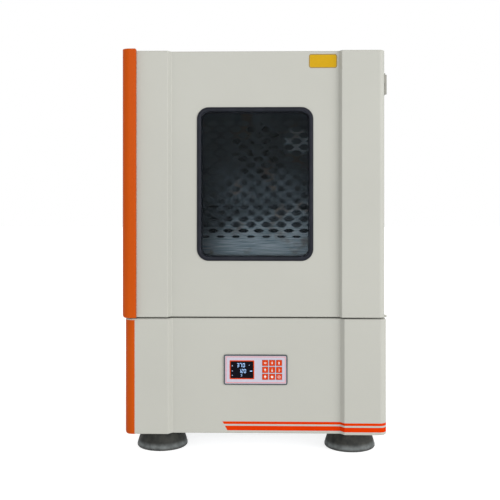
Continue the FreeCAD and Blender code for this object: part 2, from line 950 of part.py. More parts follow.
def drive_motor():
    """Upright square motor on a foot plate, with a stepped end cap and a terminal box."""
    half = motor_foot / 2
    foot = block(motor_x - half, motor_x + half, drive_y - half, drive_y + half, pan_top_z,
                 pan_top_z + motor_foot_plate)
    can = slab(rectangle(2 * motor_half, 2 * motor_half, 0, motor_x, drive_y), pan_top_z, motor_top_z)
    cap = slab(rectangle(2 * motor_cap_half, 2 * motor_cap_half, 0, motor_x, drive_y), motor_top_z,
               motor_top_z + motor_cap)
    box_z = pan_top_z + motor_box_rise
    box = block(motor_x - motor_box_width / 2, motor_x + motor_box_width / 2,
                drive_y - motor_half - motor_box_depth, drive_y, box_z, box_z + motor_box_height)
    bore = post(motor_shaft_radius + run_fit, motor_top_z + motor_cap - shaft_depth - clear,
                motor_top_z + motor_cap + overrun, motor_x, drive_y)
    return without(joined([foot, can, cap, box]), [bore])


def belt_loop(gap):
    """Wire round both belt wheels, outside their grooves by the gap: two arcs and two straight runs."""
    large = groove_radius + gap
    small = motor_groove_radius + gap
    lean = math.asin((large - small) / abs(motor_x))
    edges = []
    ends = []
    for radius, x, turn in ((large, 0, 1), (small, motor_x, -1)):
        across = radius * math.sin(lean)
        along = radius * math.cos(lean)
        top = Vector(x - across, drive_y + along, 0)
        bottom = Vector(x - across, drive_y - along, 0)
        edges.append(Part.Arc(top, Vector(x + turn * radius, drive_y, 0), bottom).toShape())
        ends.append((top, bottom))
    for large_end, small_end in zip(ends[0], ends[1]):
        edges.append(Part.makeLine(large_end, small_end))
    return Part.Wire(Part.__sortEdges__(edges))


def drive_belt():
    outer = Part.Face(belt_loop(clear + belt_thickness))
    inner = Part.Face(belt_loop(clear))
    band = outer.cut(inner)
    low = pulley_bottom_z + pulley_flange + belt_side_gap
    band.translate(Vector(0, 0, low))
    return band.extrude(Vector(0, 0, pulley_width - 2 * (pulley_flange + belt_side_gap)))


idler_disc_z = chamber_floor_z + pedestal_height + clear
idler_pin_top_z = carrier_top_z - carrier_plate / 2


def idler_pedestals():
    """Square pedestals on the chamber floor that carry the idler cranks."""
    pedestals = []
    for x, y in idler_places:
        body = slab(rectangle(2 * pedestal_half, 2 * pedestal_half, 0, x, drive_y + y), chamber_floor_z,
                    chamber_floor_z + pedestal_height)
        bore = post(idler_shaft_radius + run_fit, chamber_floor_z + liner_sheet,
                    chamber_floor_z + pedestal_height + overrun, x, drive_y + y)
        pedestals.append(body.cut(bore))
    return Part.makeCompound(pedestals)


def idler_crank(x, y):
    """Idler crank with the throw of the main crank: shaft, arm and pin."""
    shaft = post(idler_shaft_radius, chamber_floor_z + liner_sheet + clear, idler_disc_z, x, drive_y + y)
    arm = block(x - idler_arm_half, x + idler_arm_half, pin_y + y - idler_arm_half,
                drive_y + y + idler_arm_half, idler_disc_z, idler_disc_z + idler_disc)
    pin = post(idler_pin_radius, idler_disc_z + idler_disc, idler_pin_top_z, x, pin_y + y)
    return joined([shaft, arm, pin])


# Platform

def platform_carrier():
    """Cast frame under the tray: plate, cross ribs, bearing hub and three idler bosses."""
    width = platform_width - 2 * carrier_margin
    depth = platform_depth - 2 * carrier_margin
    plate_z = carrier_top_z - carrier_plate
    plate = slab(rectangle(width, depth, carrier_margin, 0, pin_y), plate_z, carrier_top_z)
    hub = post(carrier_hub_radius, carrier_bottom_z, carrier_top_z, 0, pin_y)
    rib_z = plate_z - carrier_rib_height
    ribs = [
        block(-width / 2 + carrier_margin, width / 2 - carrier_margin, pin_y - carrier_rib / 2,
              pin_y + carrier_rib / 2, rib_z, plate_z),
        block(-carrier_rib / 2, carrier_rib / 2, pin_y - depth / 2 + carrier_margin,
              pin_y + depth / 2 - carrier_margin, rib_z, plate_z),
    ]
    boss_z = idler_disc_z + idler_disc + carrier_bottom_gap
    bosses = [slab(rectangle(2 * idler_boss_half, 2 * idler_boss_half, 0, x, pin_y + y), boss_z,
                   carrier_top_z) for x, y in idler_places]
    bores = [post(idler_bush_radius, boss_z - overrun, idler_pin_top_z + clear, x, pin_y + y)
             for x, y in idler_places]
    seat = post(platform_bearing_radius, carrier_bottom_z - overrun,
                carrier_bottom_z + platform_bearing_width, 0, pin_y)
    well = post(pin_radius + shaft_hole_margin, carrier_bottom_z, crank_top_z + pin_length + clear,
                0, pin_y)
    return without(joined([plate, hub] + ribs + bosses), bores + [seat, well])


def carrier_bearings():
    """Ball bearing for the crank pin and a bush for each idler pin."""
    boss_z = idler_disc_z + idler_disc + carrier_bottom_gap
    pieces = [ring(platform_bearing_radius, pin_radius + run_fit, carrier_bottom_z,
                   carrier_bottom_z + platform_bearing_width, 0, pin_y)]
    for x, y in idler_places:
        pieces.append(ring(idler_bush_radius, idler_pin_radius + clear, boss_z, idler_pin_top_z,
                           x, pin_y + y))
    return Part.makeCompound(pieces)


def platform_tray():
    """Bare steel plate with turned-down edges and holes for flask clamps."""
    outline = rectangle(platform_width, platform_depth, 0, 0, pin_y)
    pitch_x = (platform_width - 2 * tray_hole_margin_x) / (tray_hole_columns - 1)
    pitch_y = (platform_depth - 2 * tray_hole_margin_y) / (tray_hole_rows - 1)
    outer = slab(outline, platform_z - tray_flange, platform_z)
    inner = slab(outline, platform_z - tray_flange - overrun, platform_z - tray_plate, tray_plate)
    holes = []
    for column in range(tray_hole_columns):
        for row in range(tray_hole_rows):
            x = (column - (tray_hole_columns - 1) / 2) * pitch_x
            y = pin_y + (row - (tray_hole_rows - 1) / 2) * pitch_y
            holes.append(post(tray_hole_radius, platform_z - tray_flange, platform_z + overrun, x, y))
    return without(outer, [inner] + holes)


# Refrigeration

def compressor():
    """Hermetic compressor: a can with sloping shoulders on a foot plate and four rubber blocks."""
    foot_z = pan_top_z + compressor_foot_rise
    half = compressor_foot_width / 2
    top_z = foot_z + compressor_height
    can = post(compressor_radius, foot_z, top_z, compressor_x, compressor_y)
    can = ease_level_edges(can, compressor_dome, top_z)
    foot = block(compressor_x - half, compressor_x + half, compressor_y - half, compressor_y + half,
                 foot_z, foot_z + compressor_foot_plate)
    pieces = [can, foot]
    reach = half - grommet_inset
    for side in (-1, 1):
        for end in (-1, 1):
            x = compressor_x + side * reach
            y = compressor_y + end * reach
            pieces.append(block(x - grommet_half, x + grommet_half, y - grommet_half, y + grommet_half,
                                pan_top_z, foot_z))
    return joined(pieces)


condenser_y = rear_y - sheet - condenser_gap - condenser_depth
blower_z = pan_top_z + condenser_height / 2
blower_y = condenser_y - blower_gap


def condenser():
    return finned_coil(condenser_width, condenser_height, condenser_depth, condenser_slot_count,
                       condenser_x, condenser_y, pan_top_z)


def blower_motor():
    """Condenser fan motor on a folded bracket that stands on the floor plate."""
    back_y = blower_y - blower_depth - clear
    can = upright(rectangle(2 * blower_motor_half, 2 * blower_motor_half, 0, condenser_x, blower_z),
                  back_y - blower_motor_length, back_y)
    bore = bar(fan_shaft + run_fit, back_y - fan_shaft_depth - clear, back_y + overrun, condenser_x, blower_z)
    left = condenser_x - bracket_width / 2
    right = condenser_x + bracket_width / 2
    leg_y = back_y - blower_motor_length
    leg = block(left, right, leg_y - bracket_sheet, leg_y, pan_top_z, blower_z + blower_motor_half)
    foot = block(left, right, leg_y - bracket_width, leg_y, pan_top_z, pan_top_z + bracket_sheet)
    return without(joined([can, leg, foot]), [bore])


def fan_motors():
    """The two fan motors: one behind the chamber and one in front of the condenser."""
    return Part.makeCompound([circulation_motor(), blower_motor()])


def condenser_fan():
    """Axial fan with flat pitched blades on a hub, and the shaft that enters its motor."""
    front = blower_y - blower_depth
    hub = bar(blower_hub, front, blower_y, 0, 0)
    shaft = bar(fan_shaft, front - fan_shaft_depth, front, 0, 0)
    blades = []
    twist = math.radians(blower_twist)
    chord = (blower_depth - blower_blade * math.cos(twist)) / math.sin(twist)
    for index in range(blower_blades):
        fin = block(-chord / 2, chord / 2, -blower_blade / 2, blower_blade / 2,
                    blower_hub - blower_blade, blower_radius)
        fin.rotate(Vector(0, 0, 0), Vector(0, 0, 1), blower_twist)
        fin.translate(Vector(0, (front + blower_y) / 2, 0))
        fin.rotate(Vector(0, 0, 0), Vector(0, 1, 0), 360 * index / blower_blades)
        blades.append(fin)
    fan = joined([hub, shaft] + blades)
    fan.translate(Vector(condenser_x, 0, blower_z))
    return fan


def refrigerant_lines():
    """Two pipes from the compressor: one to the condenser, and one up to the deck for the evaporator."""
    stub_z = pan_top_z + compressor_foot_rise + compressor_stub_rise
    left_x = compressor_x - compressor_radius
    turn_x = (condenser_x + condenser_width / 2 + left_x) / 2
    top_z = pan_top_z + condenser_height - pipe_drop
    middle_of_condenser = condenser_y + condenser_depth / 2
    delivery = pipe([
        Vector(left_x, compressor_y, stub_z),
        Vector(turn_x, compressor_y, stub_z),
        Vector(turn_x, middle_of_condenser, stub_z),
        Vector(condenser_x + condenser_width / 2, middle_of_condenser, stub_z),
    ], pipe_radius)
    rise_y = compressor_y + compressor_radius + pipe_front_gap
    suction = pipe([
        Vector(compressor_x, compressor_y + compressor_radius, top_z),
        Vector(compressor_x, rise_y, top_z),
        Vector(compressor_x, rise_y, base_top_z - deck_plate),
    ], pipe_radius)
    return Part.makeCompound([delivery, suction])


# Control panel

def control_bezel():
    """Moulded frame: a lip in front of the sheet and a deep wall that passes through it."""
    lip_back_y = middle_y
    outline = rectangle(panel_width, panel_height, panel_radius, panel_x, panel_z)
    lip = upright(outline, middle_y - bezel_proud, lip_back_y)
    wall = upright(outline, fascia_back_y, middle_y + bezel_depth, bezel_over)
    seat = upright(outline, middle_y - bezel_proud - overrun, fascia_back_y, bezel_lip)
    inside = upright(outline, fascia_back_y, middle_y + bezel_depth + overrun, bezel_over + bezel_wall)
    return without(joined([lip, wall]), [seat, inside])


def key_place(row, column):
    x = panel_x + key_grid_x + (column - (key_rows - 1) / 2) * key_pitch
    z = panel_z + ((key_rows - 1) / 2 - row) * key_pitch
    return x, z


def control_fascia():
    """Front plate of the panel, with openings for the display and the nine keys."""
    outline = rectangle(panel_width, panel_height, panel_radius, panel_x, panel_z)
    plate = upright(outline, fascia_front_y, fascia_back_y, bezel_lip)
    openings = [upright(rectangle(display_width, display_height, 0, panel_x + display_x, panel_z),
                        fascia_front_y - overrun, fascia_back_y + overrun)]
    for row in range(key_rows):
        for column in range(key_rows):
            x, z = key_place(row, column)
            opening = rectangle(key_size + 2 * clear, key_size + 2 * clear, 0, x, z)
            openings.append(upright(opening, fascia_front_y - overrun, fascia_back_y + overrun))
    return without(plate, openings)


def display_module():
    outline = rectangle(display_width, display_height, 0, panel_x + display_x, panel_z)
    return upright(outline, fascia_front_y + display_sink, board_y)


def control_board():
    outline = rectangle(panel_width, panel_height, panel_radius, panel_x, panel_z)
    return upright(outline, board_y, board_y + board_sheet, bezel_over + bezel_wall)


def key(row, column):
    """Key cap with a hidden flange behind the fascia and a square stem towards the board."""
    x, z = key_place(row, column)
    half = key_size / 2
    cut = key_corner
    cap = [
        (x - half + cut, z - half, 0), (x + half - cut, z - half, 0),
        (x + half, z - half + cut, 0), (x + half, z + half - cut, 0),
        (x + half - cut, z + half, 0), (x - half + cut, z + half, 0),
        (x - half, z + half - cut, 0), (x - half, z - half + cut, 0),
    ]
    flange_y = fascia_back_y + clear
    flange_size = key_size + 2 * (clear + key_flange_over)
    return joined([
        upright(cap, fascia_front_y - key_proud, flange_y),
        upright(rectangle(flange_size, flange_size, 0, x, z), flange_y, flange_y + key_flange),
        upright(rectangle(key_stem, key_stem, 0, x, z), flange_y, board_y - clear - key_travel),
    ])


# Mains inlet

rocker_z = inlet_z + rocker_rise
rocker_y = rear_y


def mains_inlet():
    """Inlet socket with three contacts, and above it the frame of the rocker switch."""
    lip = upright(rectangle(inlet_width, inlet_height, inlet_radius, inlet_x, inlet_z),
                  rear_y, rear_y + inlet_plate)
    body = upright(rectangle(inlet_width - 2 * inlet_lip, inlet_height - 2 * inlet_lip, 0, inlet_x,
                             inlet_z), rear_y - inlet_depth, rear_y)
    socket_z = inlet_z - socket_drop
    face_y = rear_y + inlet_plate
    socket = upright(rectangle(socket_width, socket_height, 0, inlet_x, socket_z),
                     face_y - socket_depth, face_y + overrun)
    slot = upright(rectangle(rocker_slot_width, rocker_slot_height, 0, inlet_x, rocker_z),
                   face_y - rocker_slot_depth, face_y + overrun)
    reach = rocker_slot_width / 2 + rocker_pin_length
    pivot = Part.makeCylinder(rocker_pin_radius + run_fit, 2 * reach,
                              Vector(inlet_x - reach, rocker_y, rocker_z), Vector(1, 0, 0))
    housing = without(joined([lip, body]), [socket, slot, pivot])
    contacts = []
    for place in (-1, 0, 1):
        x = inlet_x + place * blade_spread
        contacts.append(block(x - blade_width / 2, x + blade_width / 2, face_y - socket_depth,
                              face_y - socket_depth + blade_length, socket_z - blade_height / 2,
                              socket_z + blade_height / 2))
    return Part.makeCompound([housing] + contacts)


def mains_rocker():
    """Two-sided rocker on a cross pin, drawn with its lower end out."""
    half = rocker_half_height
    side_view = [
        (rocker_tip, half, 0),
        (rocker_dip, 0, 0),
        (rocker_tip, -half, 0),
        (-rocker_back, -half + rocker_back, 0),
        (-rocker_back, half - rocker_back, 0),
    ]
    width = rocker_slot_width - 2 * rocker_side_gap
    body = sideways(side_view, inlet_x - width / 2, inlet_x + width / 2)
    reach = rocker_slot_width / 2 + rocker_pin_length - clear
    pin = Part.makeCylinder(rocker_pin_radius, 2 * reach, Vector(inlet_x - reach, 0, 0), Vector(1, 0, 0))
    rocker = joined([body, pin])
    rocker.rotate(Vector(0, 0, 0), Vector(1, 0, 0), rocker_tilt)
    rocker.translate(Vector(0, rocker_y, rocker_z))
    return rocker


# Door

door_strips = (door_left_strip, door_right_strip)
door_radii = (0, door_corner_radius, 0)


def door_plan(back):
    return front_plan(door_left_x, door_right_x, door_strips, door_slope_run, door_radii, back)


def window_block(margin, y_from, y_to):
    """Rounded block on the window's outline, made smaller all round by the margin."""
    outline = rectangle(window_width, window_height, window_radius, window_x, window_z)
    return upright(outline, y_from, y_to, margin)


def hinge_notch():
    """Corner of the door's floor that the lower hinge tab takes up."""
    return block(door_right_x - tab_width, door_right_x + overrun, hinge_y - tab_front,
                 hinge_y + tab_back, door_z - overrun, door_z + tab_plate)


def door_skin():
    """Folded front tray of the door, with rounded edges and the window opening."""
    outer = slab(door_plan(door_back_y), door_z, door_top_z)
    outer = ease_level_edges(outer, edge_bevel, door_z, door_back_y)
    outer = ease_level_edges(outer, edge_bevel, door_top_z, door_back_y)
    inner = slab(door_plan(door_back_y + overrun), door_z + sheet, door_top_z - sheet, sheet)
    window = window_block(seal_sheet_grip, front_y, door_back_y)
    return without(outer, [inner, window, hinge_notch()])


def door_foam():
    back_y = door_back_y - door_liner_sheet
    fill = slab(door_plan(back_y + sheet), door_z + sheet, door_top_z - sheet, sheet)
    window = window_block(-tunnel_gap - tunnel_wall, front_y, door_back_y + overrun)
    return without(fill, [window, hinge_notch()])


def door_liner():
    """Inner sheet of the door, with a tunnel that lines the window."""
    front = door_back_y - door_liner_sheet
    sheet_back = slab(door_plan(door_back_y + sheet), door_z + sheet, door_top_z - sheet, sheet)
    rear = block(door_left_x, door_right_x, front, door_back_y, door_z, door_top_z)
    sheet_back = sheet_back.common(rear)
    tunnel = window_block(-tunnel_gap - tunnel_wall, middle_y + sheet, front)
    tunnel = tunnel.cut(window_block(-tunnel_gap, middle_y, front))
    window = window_block(seal_sheet_grip, front - overrun, door_back_y + overrun)
    return joined([sheet_back, tunnel]).cut(window)


def seal_ring(face_y, direction):
    """Rubber seal: a lip outside the sheet, and a collar through its opening that holds the glass."""
    def span(start, end, margin):
        low, high = sorted([face_y + direction * start, face_y + direction * end])
        return window_block(margin, low, high)
    lip = span(-seal_proud, 0, 0)
    collar = span(0, seal_back, seal_sheet_grip)
    centre = span(-seal_proud - overrun, seal_back + overrun, seal_width)
    return joined([lip, collar]).cut(centre)


def window_seals():
    return Part.makeCompound([
        seal_ring(middle_y, 1),
        seal_ring(door_back_y, -1),
    ])


def window_panes():
    return Part.makeCompound([
        window_block(seal_width, middle_y, middle_y + glass),
        window_block(seal_width, door_back_y - glass, door_back_y),
    ])


def gasket_layer(width, y_from, y_to):
    """One layer of the gasket, as a rectangular ring on its centre line."""
    centre = gasket_outer - gasket_foot / 2
    middle = chamber_floor_z + chamber_height / 2
    rings = []
    for reach in (centre + width / 2, centre - width / 2):
        rings.append(upright(rectangle(2 * (chamber_half + reach), chamber_height + 2 * reach, 0, 0,
                                       middle), y_from, y_to))
    return rings[0].cut(rings[1])


def door_gasket():
    """Magnetic gasket: a foot on the door, a narrow neck, and the magnet strip by the cabinet."""
    back_y = casing_front_y - clear
    return joined([
        gasket_layer(gasket_foot, door_back_y, door_back_y + gasket_foot_height),
        gasket_layer(gasket_neck, door_back_y, back_y),
        gasket_layer(gasket_magnet, back_y - gasket_magnet_height, back_y),
    ])


def door_grip():
    """Full-height grip: a quarter-round front, and a finger groove that opens to the back."""
    left = base_left_x - grip_overhang
    right = left + grip_width
    front = front_y - grip_proud
    back = front + grip_depth
    groove_left = left + grip_wall
    groove_right = door_left_x - grip_flange
    groove_radius_here = (groove_right - groove_left) / 2
    plan = [
        (right, front_y, 0),
        (right, front, grip_inner_radius),
        (left, front, grip_radius),
        (left, back, 0),
        (groove_left, back, 0),
        (groove_left, front + grip_groove, groove_radius_here - nearness),
        (groove_right, front + grip_groove, groove_radius_here - nearness),
        (groove_right, back, 0),
        (door_left_x, back, 0),
        (door_left_x, front_y, 0),
    ]
    top = door_top_z + grip_rise
    front_view = [
        (left, door_z, grip_bottom_radius),
        (right, door_z, 0),
        (right, top, grip_top_radius),
        (left, top, grip_top_radius),
    ]
    return slab(plan, door_z, top).common(upright(front_view, front - overrun, back + overrun))


# Hinges

knuckle_low_z = door_top_z - hinge_drop - hinge_height
knuckle_split_z = knuckle_low_z + hinge_height / 2
knuckle_high_z = knuckle_low_z + hinge_height


def cabinet_hinges():
    """Fixed halves: a strap on the casing with the upper pin, and a plate on the deck with the lower pin."""
    strap = block(base_right_x, base_right_x + hinge_leaf, hinge_y, hinge_y + hinge_strap,
                  knuckle_low_z, knuckle_split_z)
    knuckle = post(knuckle_radius, knuckle_low_z, knuckle_split_z, hinge_x, hinge_y)
    pin = post(hinge_pin_radius, knuckle_split_z, knuckle_high_z - hinge_leaf, hinge_x, hinge_y)
    upper = joined([strap, knuckle, pin])
    plate_top_z = door_z - clear
    plate = block(door_right_x - tab_width, hinge_x, hinge_y - tab_front, hinge_y + tab_back,
                  base_top_z, plate_top_z)
    eye = post(knuckle_radius, base_top_z, plate_top_z, hinge_x, hinge_y)
    lower_pin = post(hinge_pin_radius, base_top_z, door_z + tab_plate, hinge_x, hinge_y)
    inside = block(door_right_x - tab_width, door_right_x, hinge_y - tab_front, hinge_y + tab_back,
                   base_top_z, plate_top_z)
    bridge = block(door_right_x, hinge_x, hinge_y - knuckle_radius, hinge_y + knuckle_radius,
                   base_top_z, plate_top_z)
    lower = joined([plate.common(inside), bridge, eye, lower_pin])
    return Part.makeCompound([upper, lower])


def door_hinge_leaves():
    """Door halves: a leaf on the door's side with its knuckle, and a tab let into the door's floor."""
    leaf = block(door_right_x, door_right_x + hinge_leaf, hinge_y - hinge_leaf_front,
                 hinge_y + hinge_leaf_back, knuckle_split_z + clear, knuckle_high_z)
    knuckle = post(knuckle_radius, knuckle_split_z + clear, knuckle_high_z, hinge_x, hinge_y)
    bore = post(hinge_pin_radius + run_fit, knuckle_split_z, knuckle_high_z - hinge_leaf + clear,
                hinge_x, hinge_y)
    upper = without(joined([leaf, knuckle]), [bore])
    tab = block(door_right_x - tab_width, door_right_x, hinge_y - tab_front, hinge_y + tab_back,
                door_z, door_z + tab_plate)
    bridge = block(door_right_x, hinge_x, hinge_y - knuckle_radius, hinge_y + knuckle_radius,
                   door_z, door_z + tab_plate)
    eye = post(knuckle_radius, door_z, door_z + tab_plate, hinge_x, hinge_y)
    lower_bore = post(hinge_pin_radius + run_fit, door_z - overrun, door_z + tab_plate + overrun,
                      hinge_x, hinge_y)
    return Part.makeCompound([upper, joined([tab, bridge, eye]).cut(lower_bore)])


pieces = {
    "base_front_panel": base_front_panel,
    "base_side_panels": base_side_panels,
    "base_corner_trim": base_corner_trim,
    "base_rear_panel": base_rear_panel,
    "base_deck": base_deck,
    "base_pan": base_pan,
    "rubber_feet": rubber_feet,
    "upper_casing": upper_casing,
    "rear_cover": rear_cover,
    "insulation_foam": insulation_foam,
    "chamber_liner": chamber_liner,
    "air_baffle": air_baffle,
    "chamber_lamp": chamber_lamp,
    "temperature_probe": temperature_probe,
    "evaporator_coil": evaporator_coil,
    "heater_element": heater_element,
    "circulation_impeller": circulation_impeller,
    "fan_motors": fan_motors,
    "drive_hub": drive_hub,
    "drive_bearings": drive_bearings,
    "crankshaft": crankshaft,
    "crank_pulley": crank_pulley,
    "motor_pulley": motor_pulley,
    "drive_motor": drive_motor,
    "drive_belt": drive_belt,
    "idler_pedestals": idler_pedestals,
    "platform_carrier": platform_carrier,
    "carrier_bearings": carrier_bearings,
    "platform_tray": platform_tray,
    "compressor": compressor,
    "condenser": condenser,
    "condenser_fan": condenser_fan,
    "refrigerant_lines": refrigerant_lines,
    "control_bezel": control_bezel,
    "control_fascia": control_fascia,
    "display_module": display_module,
    "control_board": control_board,
    "mains_inlet": mains_inlet,
    "mains_rocker": mains_rocker,
    "door_skin": door_skin,
    "door_foam": door_foam,
    "door_liner": door_liner,
    "window_panes": window_panes,
    "window_seals": window_seals,
    "door_gasket": door_gasket,
    "door_grip": door_grip,
    "cabinet_hinges": cabinet_hinges,
    "door_hinge_leaves": door_hinge_leaves,
}

for name, make in pieces.items():
    save(name, make())

for index, (x, y) in enumerate(idler_places):
    save("idler_crank_" + str(index + 1), idler_crank(x, y))

for row in range(key_rows):
    for column in range(key_rows):
        save("key_" + str(row * key_rows + column + 1), key(row, column))
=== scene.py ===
import math

import bmesh
import bpy
from mathutils import Matrix, Vector


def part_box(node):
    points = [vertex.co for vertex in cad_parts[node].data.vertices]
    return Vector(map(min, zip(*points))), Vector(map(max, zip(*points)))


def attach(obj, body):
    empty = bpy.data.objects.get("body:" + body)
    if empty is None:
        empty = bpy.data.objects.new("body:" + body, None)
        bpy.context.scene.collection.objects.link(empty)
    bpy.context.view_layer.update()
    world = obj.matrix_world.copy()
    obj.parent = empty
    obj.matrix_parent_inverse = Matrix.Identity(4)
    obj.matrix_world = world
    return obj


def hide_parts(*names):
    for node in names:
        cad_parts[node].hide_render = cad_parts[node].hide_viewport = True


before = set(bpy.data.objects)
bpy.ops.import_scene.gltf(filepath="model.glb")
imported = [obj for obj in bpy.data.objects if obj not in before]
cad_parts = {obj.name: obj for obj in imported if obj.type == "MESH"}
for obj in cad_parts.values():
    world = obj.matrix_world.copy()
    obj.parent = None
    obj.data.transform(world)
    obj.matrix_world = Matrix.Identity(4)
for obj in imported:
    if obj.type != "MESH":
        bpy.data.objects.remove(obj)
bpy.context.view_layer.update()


# Rubber feet
# Four broad levelling feet, moulded in dark rubber and screwed up into the floor of the base.
# Each flares to a rounded rim with a ring of tread under it, its lower part lighter with dust and painted
# highlight.

mm = 0.001


class Value:
    """An output of a node in a finish. Sums, differences and products of numbers add Math nodes."""

    def __init__(self, finish, socket):
        self.finish = finish
        self.socket = socket

    def maths(self, operation, first, second):
        return self.finish.node("ShaderNodeMath", {"operation": operation}, {0: first, 1: second})

    def __add__(self, other):
        return self.maths("ADD", self, other)

    def __mul__(self, other):
        return self.maths("MULTIPLY", self, other)

    def __sub__(self, other):
        return self.maths("SUBTRACT", self, other)

    def __rsub__(self, other):
        return self.maths("SUBTRACT", other, self)

    __radd__ = __add__
    __rmul__ = __mul__


class Finish:
    """One surface finish, as a material whose patterns sit in the part's own space."""

    def __init__(self, name, constants):
        self.material = bpy.data.materials.new(name)
        self.material.use_nodes = True
        self.tree = self.material.node_tree
        self.shader = self.tree.nodes["Principled BSDF"]
        self.place = self.node("ShaderNodeTexCoord", output="Object")
        for socket, value in constants.items():
            self.feed(socket, value)

    def link(self, socket, value):
        if isinstance(value, Value):
            self.tree.links.new(value.socket, socket)
        else:
            socket.default_value = value

    def node(self, kind, settings={}, sockets={}, output=0):
        """Adds a node: its settings first, then the values or links of its sockets."""
        made = self.tree.nodes.new(kind)
        for name, value in settings.items():
            setattr(made, name, value)
        for socket, value in sockets.items():
            self.link(made.inputs[socket], value)
        return Value(self, made.outputs[output])

    def feed(self, socket, value):
        self.link(self.shader.inputs[socket], value)

    def grain(self, scale, detail=2.0, stretch=(1, 1, 1)):
        """Soft cloudy pattern, about one metre over the scale in size."""
        spot = self.node("ShaderNodeMapping", {}, {"Vector": self.place, "Scale": stretch})
        return self.node("ShaderNodeTexNoise", {}, {"Vector": spot, "Scale": scale, "Detail": detail})

    def step(self, value, low, high):
        """0 below low, 1 above high and a smooth slope between."""
        return self.node("ShaderNodeMapRange", {"interpolation_type": "SMOOTHSTEP"},
                         {"Value": value, "From Min": low, "From Max": high})

    def height(self):
        """Height over the ground, in metres."""
        return self.node("ShaderNodeSeparateXYZ", {}, {"Vector": self.place}, "Z")

    def mix(self, first, second, share):
        """The first colour where the share is 0 and the second where it is 1."""
        return self.node("ShaderNodeMix", {"data_type": "RGBA"}, {0: share, 6: first, 7: second}, 2)

    def relief(self, height, depth):
        """Bumps that stand up to the depth, in millimetres."""
        self.feed("Normal", self.node("ShaderNodeBump", {}, {"Distance": depth * mm, "Height": height}))


def piece(name, bm, finishes, body, nodes=(), crease=35):
    """Turns a mesh in millimetres into a finished piece that rides on a body."""
    bmesh.ops.scale(bm, vec=(mm, mm, mm), verts=bm.verts[:])
    mesh = bpy.data.meshes.new(name)
    bm.to_mesh(mesh)
    bm.free()
    for finish in finishes:
        mesh.materials.append(finish.material)
    mesh.shade_smooth()
    mesh.set_sharp_from_angle(angle=math.radians(crease))
    made = bpy.data.objects.new(name, mesh)
    bpy.context.scene.collection.objects.link(made)
    even = made.modifiers.new("even_shading", "WEIGHTED_NORMAL")
    even.keep_sharp = True
    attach(made, body)
    if nodes:
        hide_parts(*nodes)


def closed(bm):
    """Joins corners that meet and turns every face outwards."""
    bmesh.ops.remove_doubles(bm, verts=bm.verts[:], dist=0.001)
    bmesh.ops.recalc_face_normals(bm, faces=bm.faces[:])
    return bm


def turned(bm, profile, steps, x, y):
    """Turns a profile of radius and height pairs about an upright axis."""
    spots = [bm.verts.new((x + radius, y, z)) for radius, z in profile]
    edges = [bm.edges.new(pair) for pair in zip(spots, spots[1:])]
    bmesh.ops.spin(bm, geom=spots + edges, cent=(x, y, 0), axis=(0, 0, 1), dvec=(0, 0, 0),
                   angle=2 * math.pi, steps=steps, use_merge=True, use_duplicate=False)


def room(node):
    """Lowest and highest corner of a CAD node, in millimetres."""
    low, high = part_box(node)
    return low / mm, high / mm


def rubber(name, roughness, shine=0.12):
    """Matt, finely grained rubber that still wants its colour."""
    finish = Finish(name, {"Specular IOR Level": shine})
    finish.feed("Roughness", finish.grain(300, 2) * 0.16 + roughness)
    finish.relief(finish.grain(1400, 2) + finish.grain(140, 1) * 1.5, 0.12)
    return finish


foot_rubber = rubber("foot_rubber", 0.50)
height = foot_rubber.height()
smudges = foot_rubber.step(foot_rubber.grain(70, 4), 0.30, 0.75)
clean = foot_rubber.mix((0.014, 0.015, 0.014, 1), (0.030, 0.030, 0.026, 1), smudges)
# Lighter band low on the flare: partly dust, partly painted highlight where the flare faces up.
dust_and_highlight_band = foot_rubber.step(height, 0.001, 0.009) - foot_rubber.step(height, 0.009, 0.020)
dust_and_highlight = dust_and_highlight_band * (smudges * 0.5 + 0.5)
foot_rubber.feed("Base Color", foot_rubber.mix(clean, (0.115, 0.125, 0.125, 1), dust_and_highlight))
foot_low, foot_high = room("rubber_feet")
foot_radius = 63.0
feet = bmesh.new()
foot_profile = [
    (0, 2.4), (34, 2.4), (35, 0.4), (38, 0), (58.5, 0), (61.2, 0.7), (62.7, 2.4), (foot_radius, 4.6),
    (62.8, 6.8), (62.2, 9), (61.2, 12), (59.8, 17), (58.1, 22), (56.0, 29), (54.0, 36), (52.2, 43),
    (51.2, 47), (50.6, foot_high.z), (0, foot_high.z),
]
for x in (foot_low.x + foot_radius, foot_high.x - foot_radius):
    for y in (foot_low.y + foot_radius, foot_high.y - foot_radius):
        turned(feet, foot_profile, 72, x, y)
piece("rubber_feet_moulded", closed(feet), [foot_rubber], "cabinet", ["rubber_feet"])


# Floor of the base
# Galvanised steel plate with slots under the compressor. It lies on the flanges of the walls
# and carries the compressor, the motor and the condenser.

def dress(finish, *nodes):
    """Gives a finish to CAD nodes that keep their own shape."""
    for node in nodes:
        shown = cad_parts[node]
        if not shown.material_slots:
            shown.data.materials.append(finish.material)
        for place in shown.material_slots:
            place.material = finish.material


zinc = Finish("zinc_sheet", {"Metallic": 0.9})
spangle = zinc.node("ShaderNodeTexVoronoi", {}, {"Vector": zinc.place, "Scale": 70.0}, "Color")
flake = zinc.node("ShaderNodeSeparateColor", {}, {"Color": spangle})
zinc.feed("Base Color", zinc.mix((0.36, 0.38, 0.40, 1), (0.55, 0.57, 0.58, 1), flake))
zinc.feed("Roughness", flake * 0.2 + 0.32)
zinc.relief(flake * 0.4 + zinc.grain(500), 0.03)
dress(zinc, "base_pan")


# Base panels
# Folded steel sheet in cream powder coat: a front with two strips that stand proud of the middle,
# two sides with vent slots, a back with pressed louvres, and the deck that closes the top.

def joined(node):
    """Mesh of a CAD node in millimetres, with its loose triangles joined."""
    bm = bmesh.new()
    bm.from_mesh(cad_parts[node].data)
    bmesh.ops.scale(bm, vec=(1 / mm,) * 3, verts=bm.verts[:])
    bmesh.ops.remove_doubles(bm, verts=bm.verts[:], dist=0.01)
    return bm


